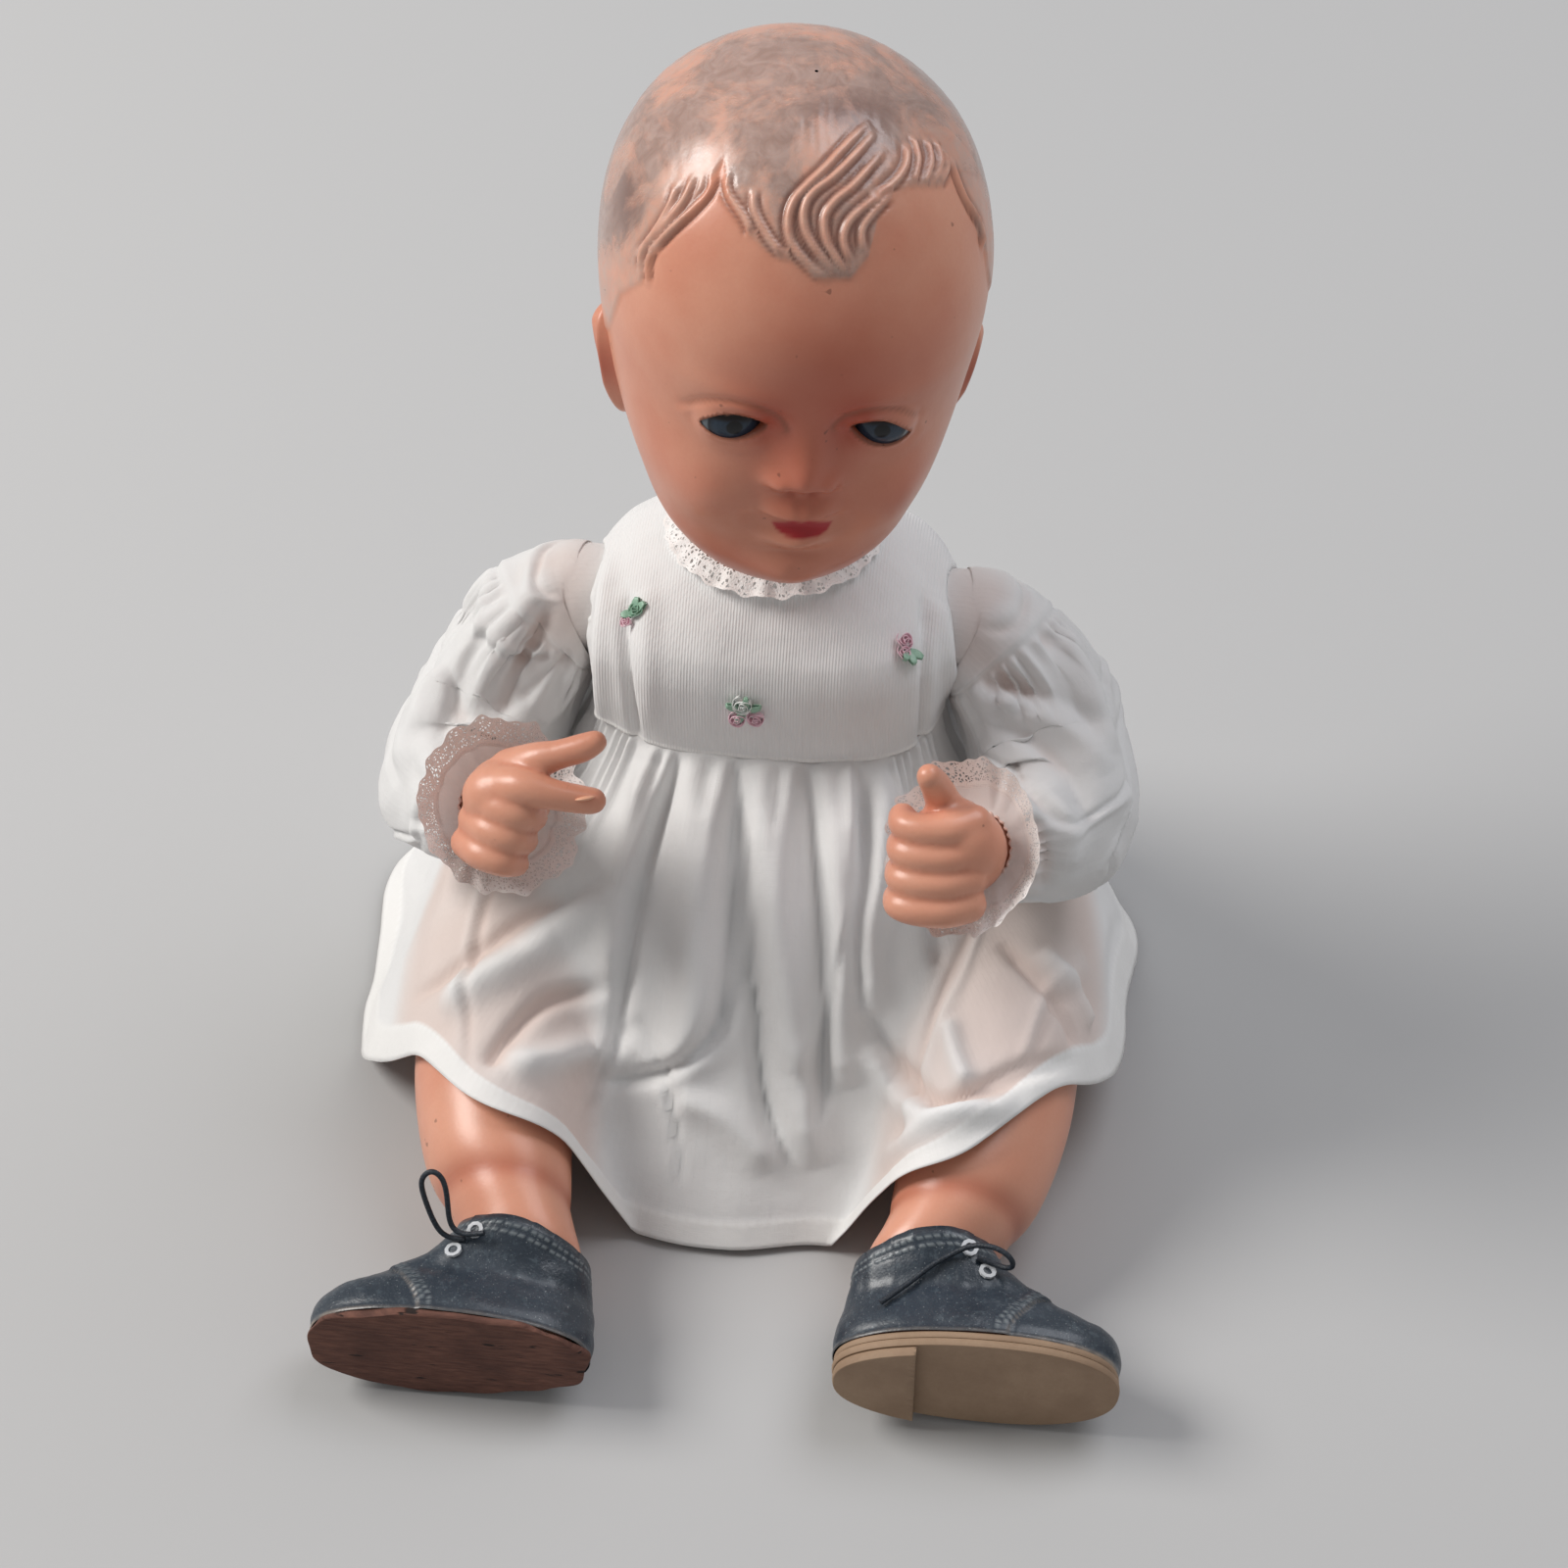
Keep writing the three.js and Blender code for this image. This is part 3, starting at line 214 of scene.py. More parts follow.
def newMaterial(name, **values):
    material = bpy.data.materials.new(name)
    material.use_nodes = True
    tree = material.node_tree
    shader = tree.nodes["Principled BSDF"]
    for key, value in values.items():
        shader.inputs[key.replace("_", " ")].default_value = value
    place = addNode(tree, "ShaderNodeTexCoord").outputs["Object"]
    return material, tree, shader, place


# one colour all over, set on the shader itself
def plainMaterial(name, colour, **values):
    material, _, shader, _ = newMaterial(name, **values)
    shader.inputs["Base Color"].default_value = srgb(colour)
    return material


def connect(tree, shader, **outputs):
    for key, value in outputs.items():
        tree.links.new(value, shader.inputs[key.replace("_", " ")])


# shapes
# a net of faces whose corners place(u, v) puts, with u and v from 0 to 1; corners closer than join are merged
def gridShape(columns, rows, place, join=0.02 * mm, sizes=(1.0, 1.0)):
    bm = bmesh.new()
    bmesh.ops.create_grid(bm, x_segments=columns, y_segments=rows, size=0.5)
    uv = bm.loops.layers.uv.new("UVMap")
    for face in bm.faces:
        for loop in face.loops:
            loop[uv].uv = ((loop.vert.co.x + 0.5) * sizes[0], (loop.vert.co.y + 0.5) * sizes[1])
    for vert in bm.verts:
        vert.co = place(vert.co.x + 0.5, vert.co.y + 0.5)
    if join:
        bmesh.ops.remove_doubles(bm, verts=bm.verts, dist=join)
    return bm


# where each corner lies on the flat net
def flatPlaces(bm):
    uv = bm.loops.layers.uv["UVMap"]
    return {loop.vert: loop[uv].uv.copy() for face in bm.faces for loop in face.loops}


# numbers at each corner that the materials read
def paintLayers(bm, *names):
    return {name: bm.verts.layers.float.new(name) for name in names}


def addShape(bm, part):
    mesh = bpy.data.meshes.new("part")
    part.to_mesh(mesh)
    part.free()
    bm.from_mesh(mesh)
    bpy.data.meshes.remove(mesh)


def inMetres(bm, side=1):
    bmesh.ops.scale(bm, verts=bm.verts, vec=(side * mm, mm, mm))


# the finished mesh becomes a piece that rides on a body
def finish(bm, name, body, material, outward=True):
    if outward:
        bmesh.ops.recalc_face_normals(bm, faces=bm.faces)
    mesh = bpy.data.meshes.new(name)
    bm.to_mesh(mesh)
    bm.free()
    obj = bpy.data.objects.new(name, mesh)
    bpy.context.scene.collection.objects.link(obj)
    mesh.materials.append(material)
    mesh.shade_smooth()
    if body:
        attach(obj, body)
    return obj


# makes what the modifiers show into the mesh
def flatten(obj):
    graph = bpy.context.evaluated_depsgraph_get()
    mesh = bpy.data.meshes.new_from_object(obj.evaluated_get(graph))
    obj.modifiers.clear()
    obj.data = mesh
    mesh.shade_smooth()


# a round cord along points in metres
def cordCurve(name, points, radius, resolution, material, closed=False):
    curve = bpy.data.curves.new(name, "CURVE")
    curve.dimensions = "3D"
    curve.bevel_depth = radius * mm
    curve.bevel_resolution = resolution
    curve.use_fill_caps = not closed
    line = curve.splines.new("POLY")
    line.points.add(len(points) - 1)
    for point, p in zip(line.points, points):
        point.co = (p.x, p.y, p.z, 1)
    line.use_cyclic_u = closed
    obj = bpy.data.objects.new(name, curve)
    bpy.context.scene.collection.objects.link(obj)
    curve.materials.append(material)
    return obj


# middles, radii and turning frames along a smooth path of x, y, z, radius in mm
def ringPath(rows, count):
    out = []
    side = Vector((0.01, 1, 0.02))
    for k in range(count):
        t = k / (count - 1)
        here = catmull(rows, t)
        ahead = catmull(rows, min(1, t + 0.01))
        behind = catmull(rows, max(0, t - 0.01))
        along = (Vector(ahead[:3]) - Vector(behind[:3])).normalized()
        side = (side - along * side.dot(along)).normalized()
        out.append((Vector(here[:3]), here[3], along, side.copy(), along.cross(side)))
    return out


# folds and creases are drawn where the photo shows them: points of the photo, width and height in mm
def foldLines(tree, folds):
    lines = []
    for points, width, height in folds:
        reach = sum(math.dist(a, b) for a, b in zip(points, points[1:]))
        count = max(12, round(reach / 1.5))
        fine = [catmull(points, k / count) for k in range(count + 1)]
        spots = [onSurface(tree, px, py) for px, py in fine]
        spots = [(k / count, p) for k, p in enumerate(spots) if p is not None]
        if len(spots) < 3:
            continue
        kd = KDTree(len(spots))
        for k, (_, p) in enumerate(spots):
            kd.insert(p, k)
        kd.balance()
        lines.append((kd, [share for share, _ in spots], width * mm, height * mm))
    return lines


def foldHeight(lines, p):
    total = 0.0
    for kd, shares, width, height in lines:
        _, index, distance = kd.find(p)
        if distance < 3 * width:
            taper = min(1.0, 5 * min(shares[index], 1 - shares[index]) + 0.15)
            total += height * taper * bell(distance, width)
    return total


sides = {"right": -1, "left": 1}

# both shoes are one shape; the right one has lost its outer sole
shoes = {
    "seam": {"right": 212, "left": 203},
    "out": {"right": 0, "left": 5},
    "wall": 1.5,
    "length": 84,
    "heel": 35,
    "half": 18.2,
    # height above the sole seam, shares for the back of the heel, toe and half width, height of the middle
    "stations": [
        [0, 0, 1, 1, 21.4],
        [5, -0.01, 1.015, 1.02, 21.4],
        [12, 0, 0.98, 0.97, 21.2],
        [18, 0.015, 0.84, 0.93, 21],
        [25, 0.03, 0.66, 0.98, 22.5],
        [34, 0.035, 0.545, 1.12, 24.5],
    ],
}


def shoeRow(label, station, grow):
    height, back, toe, width, middle = station
    heelX = shoes["heel"] + shoes["out"][label] + back * shoes["length"] - grow
    toeX = shoes["heel"] + shoes["out"][label] + toe * shoes["length"] + grow
    return -shoes["seam"][label] + height, heelX, toeX, width * shoes["half"] + grow, middle


def shoeSpot(label, station, grow, angle):
    y, heelX, toeX, half, z = shoeRow(label, station, grow)
    c = math.cos(angle)
    x = (heelX + toeX) / 2 + (toeX - heelX) / 2 * boxed(c, 0.9)
    return Vector((x, y, z + half * (1 + 0.08 * c) * boxed(math.sin(angle), 0.85)))


def shoeStation(height):
    return [height] + smoothRowAt(shoes["stations"], height)[1:]


# waxed round laces: their routes outside the eyelets, in millimetres; the right one makes the loop of a bow
lacing = {
    "radius": 0.85,
    "easing": 12,  # how often the bends are evened out
    "pointsPerStep": 6,
    "routes": {
        "right": [
            (-75, -186, 41.8), (-79, -185.7, 41.2), (-82.3, -185.3, 42.8), (-84.7, -184, 46.6),
            (-86.7, -182, 51.6), (-88.2, -180.2, 56.4), (-88.4, -178.7, 60.4), (-85.4, -177.8, 63.4),
            (-82.2, -178.5, 61.4), (-80.9, -180, 57), (-80.4, -181.8, 52.1), (-80, -183.4, 47.9),
            (-78.7, -184.8, 45), (-76.2, -185.7, 44), (-73, -186, 44.4), (-69, -186, 45.7),
        ],
        "left": [
            (80, -177, 41.8), (84, -177.4, 40.8), (87.8, -179, 41), (90.5, -180.3, 43),
            (90.6, -180, 45.8), (88.2, -178.8, 47.9), (84.4, -177.3, 48.4), (80.2, -176.2, 47.3),
            (76, -176, 45.3), (71, -178, 42.9), (66, -181, 41.4), (61, -185, 38.8), (56, -189.5, 38),
            (52, -193, 37.1),
        ],
    },
    "length": {"right": 0.064, "left": 0.062},
}


def makeLace(label):
    material, tree, shader, place = newMaterial("waxed_cotton_lace_braided_" + label, Roughness=0.55)
    braid = addNode(tree, "ShaderNodeTexVoronoi", None, {"Vector": place, "Scale": 1500}).outputs["Distance"]
    colour = blendColour(tree, braid, srgb("#10151c"), srgb("#2c3540"))
    connect(tree, shader, Base_Color=colour, Normal=bump(tree, braid, 0.0002, 0.7))
    rows = [tuple(Vector(p) * mm) for p in lacing["routes"][label]]
    count = lacing["pointsPerStep"] * len(rows)
    points = [Vector(catmull(rows, k / count)) for k in range(count + 1)]
    for _ in range(lacing["easing"]):
        inner = [(a + 2 * b + c) / 4 for a, b, c in zip(points, points[1:], points[2:])]
        points = [points[0]] + inner + [points[-1]]
    length = sum((b - a).length for a, b in zip(points, points[1:]))
    print("lace", label, round(length, 4))
    obj = cordCurve("lace_" + label + "_cord", points, lacing["radius"], 5, material)
    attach(obj, "leg_" + label)
    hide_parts("lace_" + label)
    tuple(points[0])


for label in sides:
    makeLace(label)


# pressed composition, sprayed with matt-satin flesh paint: warm, with painted shade darkening the hollows and
# creases, and a soft shine
def skinMaterial(name, tone, rosyShade, shade):
    glow = {"Subsurface_Weight": 0.06, "Subsurface_Radius": (0.004, 0.0015, 0.0008)}
    gloss = {"Roughness": 0.36, "Coat_Weight": 0.15, "Coat_Roughness": 0.3}
    material, tree, shader, place = newMaterial(name, **gloss, **glow)
    cloud = noiseAt(tree, place, 28, 3)
    fine = noiseAt(tree, place, 900, 2)
    # a cloudy mottle of the paint's own warmer tone
    base = blendColour(tree, ramp(tree, cloud, [(0.35, 0.0), (0.7, 1.0)]), tone, rosyShade)
    # painted shade: this mask darkens hollows, creases, eye sockets and the middle of the face towards the
    # shade colour; on the head's cheeks it is a blush
    base = blendColour(tree, painted(tree, "rosyShade"), base, shade)
    base = blendColour(tree, sums(tree, "MULTIPLY", fine, 0.12), base, shade)
    specks = ramp(tree, noiseAt(tree, place, 260, 1), [(0.0, 1.0), (0.2, 1.0), (0.24, 0.0)])
    base = blendColour(tree, sums(tree, "MULTIPLY", specks, 0.5), base, srgb("#5a3524"))
    normal = bump(tree, noiseAt(tree, place, 700, 2), 0.00012, 0.35)
    normal = bump(tree, noiseAt(tree, place, 60, 2), 0.0006, 0.3, normal)
    connect(tree, shader, Base_Color=base, Normal=normal)
    return material, tree, shader, place, base


headSkin, headTree, headShader, headSpace, headBase = skinMaterial(
    "composition_head_sprayed", srgb("#e2a489"), srgb("#d58d72"), srgb("#b34a30"))
limbSkin = skinMaterial("composition_limb_sprayed", srgb("#e0a287"), srgb("#da957a"), srgb("#b25f45"))[0]


# the moulded hair is painted brown-grey and rubbed through to salmon on its high spots
def finishHeadMaterial():
    tree, place = headTree, headSpace
    hair = painted(tree, "hair")
    wear = noiseAt(tree, place, 34, 7, 0.66, 0.4)
    streak = noiseAt(tree, place, 130, 4, 0.6, 1.5)
    wear = sums(tree, "ADD", wear, sums(tree, "MULTIPLY", painted(tree, "edge"), 0.13))
    rubbed = ramp(tree, wear, [(0.47, 0.0), (0.6, 0.8), (0.72, 1.0)])
    rubbed = sums(tree, "MULTIPLY", rubbed, ramp(tree, streak, [(0.3, 0.45), (0.6, 1.0)]))
    rubbed = sums(tree, "MAXIMUM", rubbed, painted(tree, "ridge"))
    streaks = ramp(tree, streak, [(0.35, 0.0), (0.65, 1.0)])
    paint = blendColour(tree, streaks, srgb("#b0958b"), srgb("#9c8075"))
    paint = blendColour(tree, painted(tree, "darkHair"), paint, srgb("#7d6057"))
    streaks = ramp(tree, streak, [(0.3, 0.0), (0.7, 1.0)])
    bare = blendColour(tree, streaks, srgb("#dfae98"), srgb("#d59c86"))
    cap = blendColour(tree, rubbed, paint, bare)
    base = blendColour(tree, hair, headBase, cap)
    # painted shade in the grooves beside the moulded strands
    base = blendColour(tree, painted(tree, "grooveShade"), base, srgb("#7e4a3a"))
    # painted shade in the crease above the upper lids and on the inner walls of the eye openings
    base = blendColour(tree, painted(tree, "lidShade"), base, srgb("#8d5138"))
    base = blendColour(tree, painted(tree, "lips"), base, srgb("#b3242b"))
    gloss = sums(tree, "MULTIPLY", hair, sums(tree, "SUBTRACT", 1.0, rubbed, True))
    shine = addNode(tree, "ShaderNodeMapRange", None, {"Value": gloss, "To Min": 0.36, "To Max": 0.22})
    connect(tree, headShader, Base_Color=base, Roughness=shine.outputs[0])


finishHeadMaterial()


# head: same sections as the solid, with a finer face
head = {
    "yaw": math.radians(10.5),
    "roll": math.radians(5.5),
    "aside": 2.5,
    "forward": 5,
    "rise": 80,
    "pivot": 192,
    "square": 0.94,
    "columns": 340,
    "rows": 284,
    # height, half width, depth in front, depth behind
    "sections": [
        [-66, 1, 22, -20],
        [-69, 9, 36, -20],
        [-69, 18, 49, -15],
        [-65, 27, 56, -6],
        [-56, 37, 61, 15],
        [-44, 43.5, 62.5, 34],
        [-29, 49.5, 63, 50],
        [-12, 54, 62, 62],
        [8, 56.5, 62, 67.5],
        [27, 55, 57.5, 67],
        [45, 48, 48, 59],
        [59, 35, 35, 45],
        [67, 20, 20, 29],
        [70, 8, 5, 15],
        [70.5, 0.5, -4.5, 5.5],
    ],
    # sideways, height, half width, half height above and below, forward
    "features": [
        (0, -18.5, 7, 8, 4.2, 6.9),  # nose tip
        (0, -9, 6.5, 9, 8, 2.6),  # nose bridge
        (-7.6, -20.8, 3.6, 4, 2.6, 3.2),  # right nostril wing
        (7.6, -20.8, 3.6, 4, 2.6, 3.2),  # left nostril wing
        (-3.1, -24.6, 1.7, 1.3, 1.3, -1.5),  # right nostril
        (3.1, -24.6, 1.7, 1.3, 1.3, -1.5),  # left nostril
        (0, -28.5, 1.7, 3.2, 3.2, -0.7),  # groove under the nose
        (0, -32.6, 9.5, 4.5, 1.5, 4.3),  # upper lip
        (0, -42.2, 8.2, 2.6, 3.4, 4.4),  # lower lip
        (0, -47.6, 8.5, 2.2, 2.2, -0.9),  # fold under the lip
        (0, -56, 11, 6.5, 8, 5.2),  # chin
        (1.5, -54, 2.6, 2.6, 2.6, -0.7),  # dimple in the chin
        (-30, -33, 13, 14, 14, 5.2),  # right cheek
        (30, -33, 13, 14, 14, 5.2),  # left cheek
        (-12.5, -34, 3.6, 7, 7, -1.5),  # right mouth corner
        (12.5, -34, 3.6, 7, 7, -1.5),  # left mouth corner
        (0, 24, 34, 18, 18, 2.5),  # forehead
        (-21, 6.5, 13, 4, 5, 1.0),  # right brow
        (21, 6.5, 13, 4, 5, 1.0),  # left brow
        (-10.5, -4, 4.5, 6, 6, -2.2),  # right inner corner
        (10.5, -4, 4.5, 6, 6, -2.2),  # left inner corner
    ],
    "faceFront": -20,  # the lids are worked in front of this
    "eye": {
        "side": 21, "height": -5.5, "depth": 47.6, "radius": 11.5,  # the ball
        "half": 9.4, "above": 5.2, "below": 4.2,  # the opening
        "slant": 0.245, "uneven": 0.085, "lower": 0.6,  # its tilt, and what differs right and left
        "cover": 0.3,  # thickness of the lid over the ball
        "reach": 22,  # how far above and below the lids are shaped
    },
    "lidEdge": 0.55,  # how far the rim of the lids stands out
    "lidDeep": 4.4,  # how far the lids go back into the head
}


def headMatrix():
    place = Matrix.Translation((-head["aside"], -head["forward"], head["rise"]))
    place = place @ Matrix.Rotation(head["yaw"], 4, "Z")
    place = Matrix.Translation((0, 0, head["pivot"])) @ Matrix.Rotation(head["roll"], 4, "Y") @ place
    return Matrix.Scale(mm, 4) @ place


headPlace = headMatrix()


def skullPoint(u, v):
    z, w, f, b = catmull(head["sections"], v)
    turn = 2 * u - 1
    angle = math.pi * turn * (0.62 + 0.38 * turn * turn)  # more columns in front
    x = w * boxed(math.sin(angle), head["square"])
    y = (b - f) / 2 - (b + f) / 2 * boxed(math.cos(angle), head["square"])
    return Vector((x, y, z))


def facePoint(p):
    if p.y > 0:
        return p
    facing = min(1.0, -p.y / 30)
    forward = 0.0
    for x, z, width, above, below, amount in head["features"]:
        high = above if p.z > z else below
        forward += amount * bell(p.x - x, width) * bell(p.z - z, high)
    return Vector((p.x, p.y - forward * facing, p.z))


# signed distance to the almond of an eye opening, and the way out of it
def almond(p):
    eye = head["eye"]
    ex = abs(p.x) - eye["side"]
    ez = p.z - eye["height"] + (eye["slant"] + math.copysign(eye["uneven"], p.x)) * ex
    ez += math.copysign(eye["lower"], p.x)  # the left one sits a little lower
    best = None
    for reach, sign in ((eye["above"], 1), (eye["below"], -1)):
        radius = (eye["half"] ** 2 + reach ** 2) / (2 * reach)
        dz = ez - sign * (reach - radius)
        far = math.hypot(ex, dz)
        if best is None or far - radius > best[0]:
            best = (far - radius, ex / far, dz / far)
    distance, gx, gz = best
    return distance, math.copysign(gx, gx * p.x) if p.x > 0 else -gx, gz


# points of the photo along the edge of the hair, along each moulded strand and round the lips
hairLine = [
    (600, 345), (622, 335), (634, 300), (655, 288), (664, 262), (690, 235), (712, 208), (728, 180),
    (739, 163), (744, 200), (765, 240), (790, 262), (808, 266), (830, 284), (868, 284), (886, 262),
    (895, 225), (912, 196), (930, 190), (962, 190), (974, 172), (990, 215), (1004, 255), (1010, 300),
    (1016, 340), (1040, 345),
]
strandLines = {
    "ridges": [
        [(728, 177), (724, 195), (708, 214), (684, 236), (665, 257)],
        [(708, 180), (700, 202), (681, 227), (658, 252), (654, 277)],
        [(691, 189), (684, 211), (669, 236), (653, 258)],
        [(669, 250), (662, 268), (661, 287)],
        [(741, 180), (744, 199), (761, 224), (767, 238)],
        [(769, 195), (771, 217), (785, 243), (799, 260)],
        [(884, 128), (867, 145), (841, 173), (824, 189), (810, 205), (804, 224), (807, 246), (823, 268),
         (841, 285)],
        [(892, 136), (873, 158), (851, 180), (829, 197), (820, 214), (822, 236), (835, 258), (851, 277)],
        [(901, 155), (882, 177), (868, 192), (852, 205), (841, 222), (843, 245), (855, 266), (864, 279)],
        [(904, 195), (884, 209), (866, 226), (860, 246), (868, 268)],
        [(909, 199), (892, 215), (879, 234), (880, 256)],
        [(925, 151), (923, 170), (911, 187), (893, 200)],
        [(931, 142), (936, 163), (931, 186)],
        [(945, 145), (949, 165), (942, 187)],
        [(953, 145), (959, 165), (951, 187)],
        [(961, 155), (965, 171), (958, 187)],
        [(970, 164), (983, 199), (999, 230), (1002, 255)],
    ],
    "width": 1.0, "height": 0.95,
    "grooveAt": 1.75, "grooveWidth": 0.65, "grooveDepth": 0.6,
}
mouthLine = [
    (787, 532), (800, 532.5), (810, 531.5), (818, 533), (826, 531.5), (836, 532.5), (849, 532),
    (844, 541), (834, 548), (818, 551), (802, 547), (792, 540),
]
# where more of the dark paint is left: middle, half width and half height
darkHairSpots = [((640, 205), 14, 42), ((905, 170), 34, 22), ((868, 118), 40, 22)]


# how far a pixel is from an outline; below 0 is inside
def outlineDistance(x, y, outline):
    inside = False
    nearest = 1e9
    for k, (x1, y1) in enumerate(outline):
        x2, y2 = outline[(k + 1) % len(outline)]
        if (y1 > y) != (y2 > y) and x < (x2 - x1) * (y - y1) / (y2 - y1) + x1:
            inside = not inside
        length = (x2 - x1) ** 2 + (y2 - y1) ** 2
        t = max(0.0, min(1.0, ((x - x1) * (x2 - x1) + (y - y1) * (y2 - y1)) / length))
        nearest = min(nearest, math.hypot(x - x1 - t * (x2 - x1), y - y1 - t * (y2 - y1)))
    return -nearest if inside else nearest


def hairLineAt(px):
    if px < hairLine[0][0]:
        return hairLine[0][1]
    for (x1, y1), (x2, y2) in zip(hairLine, hairLine[1:]):
        if x1 <= px < x2:
            return mix(y1, y2, (px - x1) / (x2 - x1))
    return hairLine[-1][1]


# the locks round the face have lost most of their paint
def hairEdge(px, py):
    return smooth(110, 20, hairLineAt(px) - py)


# 1 where the hair is moulded and painted, 0 on the face
def hairAmount(p, local):
    behind = smooth(-2, 10, local.y) * smooth(-50, -40, local.z)
    px, py = inPhoto(p)
    front = smooth(-3, 4, hairLineAt(px) - py) * smooth(-20, -10, local.z)
    return max(front, behind)


# cuts the openings, gives them an even rim and turns it into the head
def openEyes(bm):
    front = head["faceFront"]
    middles = [(f, f.calc_center_median()) for f in bm.faces]
    inside = [f for f, middle in middles if middle.y < front and almond(middle)[0] < 0]
    bmesh.ops.delete(bm, geom=inside, context="FACES")
    rim = [e for e in bm.edges if e.is_boundary and e.verts[0].co.y < front and e.verts[0].co.z > -30]
    for vert in {v for e in rim for v in e.verts}:
        for _ in range(3):
            distance, gx, gz = almond(vert.co)
            vert.co.x -= distance * gx
            vert.co.z -= distance * gz
    shapeLids(bm)
    made = bmesh.ops.extrude_edge_only(bm, edges=rim)["geom"]
    for vert in [g for g in made if isinstance(g, bmesh.types.BMVert)]:
        vert.co.y += head["lidDeep"]


def shapeLids(bm):
    eye = head["eye"]
    for vert in bm.verts:
        if vert.co.y > head["faceFront"] or abs(vert.co.z - eye["height"]) > eye["reach"]:
            continue
        distance = almond(vert.co)[0]
        above = smooth(-2, 3, vert.co.z - eye["height"])
        out = head["lidEdge"] * bell(distance - 0.5, 0.9)
        out += above * (0.9 * bell(distance - 2.6, 1.6) - 0.55 * bell(distance - 5.0, 1.1))
        out += (1 - above) * 0.5 * bell(distance - 3.5, 2.2)
        vert.co.y -= out
        off = (abs(vert.co.x) - eye["side"]) ** 2 + (vert.co.z - eye["height"]) ** 2
        if off < eye["radius"] ** 2:  # the lids lie over the ball of the eye
            ball = -eye["depth"] - math.sqrt(eye["radius"] ** 2 - off) - eye["cover"]
            vert.co.y = -math.log(math.exp(-vert.co.y) + math.exp(-ball))


def makeHead():
    bm = gridShape(head["columns"], head["rows"], lambda u, v: facePoint(skullPoint(u, v)), join=0.02)
    openEyes(bm)
    names = ("hair", "edge", "ridge", "grooveShade", "darkHair", "lips", "lidShade", "rosyShade")
    layers = paintLayers(bm, *names)
    local = {v: v.co.copy() for v in bm.verts}
    bmesh.ops.transform(bm, matrix=headPlace, verts=bm.verts)
    bmesh.ops.recalc_face_normals(bm, faces=bm.faces)
    tree = BVHTree.FromBMesh(bm)
    ridges = foldLines(tree, [(points, strandLines["width"], 1.0) for points in strandLines["ridges"]])
    bm.normal_update()
    moves = []
    for vert in bm.verts:
        spot = local[vert]
        px, py = inPhoto(vert.co)
        hair = hairAmount(vert.co, spot)
        nearest = 1.0
        taper = 1.0
        for kd, shares, _, _ in ridges:
            _, index, distance = kd.find(vert.co)
            if distance < nearest:
                nearest = distance
                taper = min(1.0, 6 * min(shares[index], 1 - shares[index]) + 0.1)
        near = nearest / mm
        up = strandLines["height"] * taper * bell(near, strandLines["width"])
        dip = bell(near - strandLines["grooveAt"], strandLines["grooveWidth"])
        down = strandLines["grooveDepth"] * taper * dip
        combed = 0.12 * noise.noise(Vector((spot.x * 0.5, spot.y * 0.12, spot.z * 0.12)))
        moves.append((vert, (0.55 * hair + up - down + combed * hair) * mm))
        vert[layers["hair"]] = hair
        vert[layers["edge"]] = hairEdge(px, py) if spot.y < 0 else 0
        vert[layers["ridge"]] = min(1.0, 1.3 * taper * bell(near, strandLines["width"] * 1.1))
        # painted shade along the groove beside each strand
        vert[layers["grooveShade"]] = 0.75 * taper * dip
        if spot.y < 0:
            dark = [bell((px - x) / w, 1) * bell((py - y) / h, 1) for (x, y), w, h in darkHairSpots]
            vert[layers["darkHair"]] = max(dark)
            mouth = smooth(1.6, -1.6, outlineDistance(px, py, mouthLine))
            vert[layers["lips"]] = mouth if spot.z < -25 else 0
            lid = almond(spot)[0]
            # painted shade in the lid crease and on the inner walls of the opening
            fold = 0.6 * bell(lid - 4.6, 0.7) * smooth(0, 3, spot.z - head["eye"]["height"])
            vert[layers["lidShade"]] = fold + 0.75 * smooth(0.45, -0.1, lid)
            # painted shade beside the nose at the inner eye corners, over the middle of the face, round the
            # nose and low on the face; a blush on the cheeks
            socketShade = 0.6 * bell(abs(spot.x) - 13, 7) * bell(spot.z + 1, 9)
            socketShade += 0.66 * bell(spot.x - 5, 30) * bell(spot.z - 10, 26)
            cheek = 0.35 * bell(abs(spot.x) - 30, 14) * bell(spot.z + 30, 12)
            under = 0.5 * smooth(-36, -62, spot.z) + 0.45 * bell(spot.x - 2, 14) * bell(spot.z + 22, 14)
            vert[layers["rosyShade"]] = min(1.0, socketShade + cheek + under)
    for vert, out in moves:
        vert.co += vert.normal * out
    piece = finish(bm, "head", "head", headSkin)
    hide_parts("head_shell")


ear = {
    "back": -7, "height": -24, "sunk": 4.4,
    "turn": math.radians(36), "lean": math.radians(14),
    "long": 17.5, "wide": 11, "stand": 7.2, "rim": 3.0, "bowl": 5.4,
    "columns": 110, "rows": 64,
}


# how far out the side of the head is
def headSide(y, z):
    _, w, f, b = rowAt(head["sections"][3:], z)
    c = min(0.95, abs(y - (b - f) / 2) / ((b + f) / 2))
    return w * math.sqrt(1 - c * c)


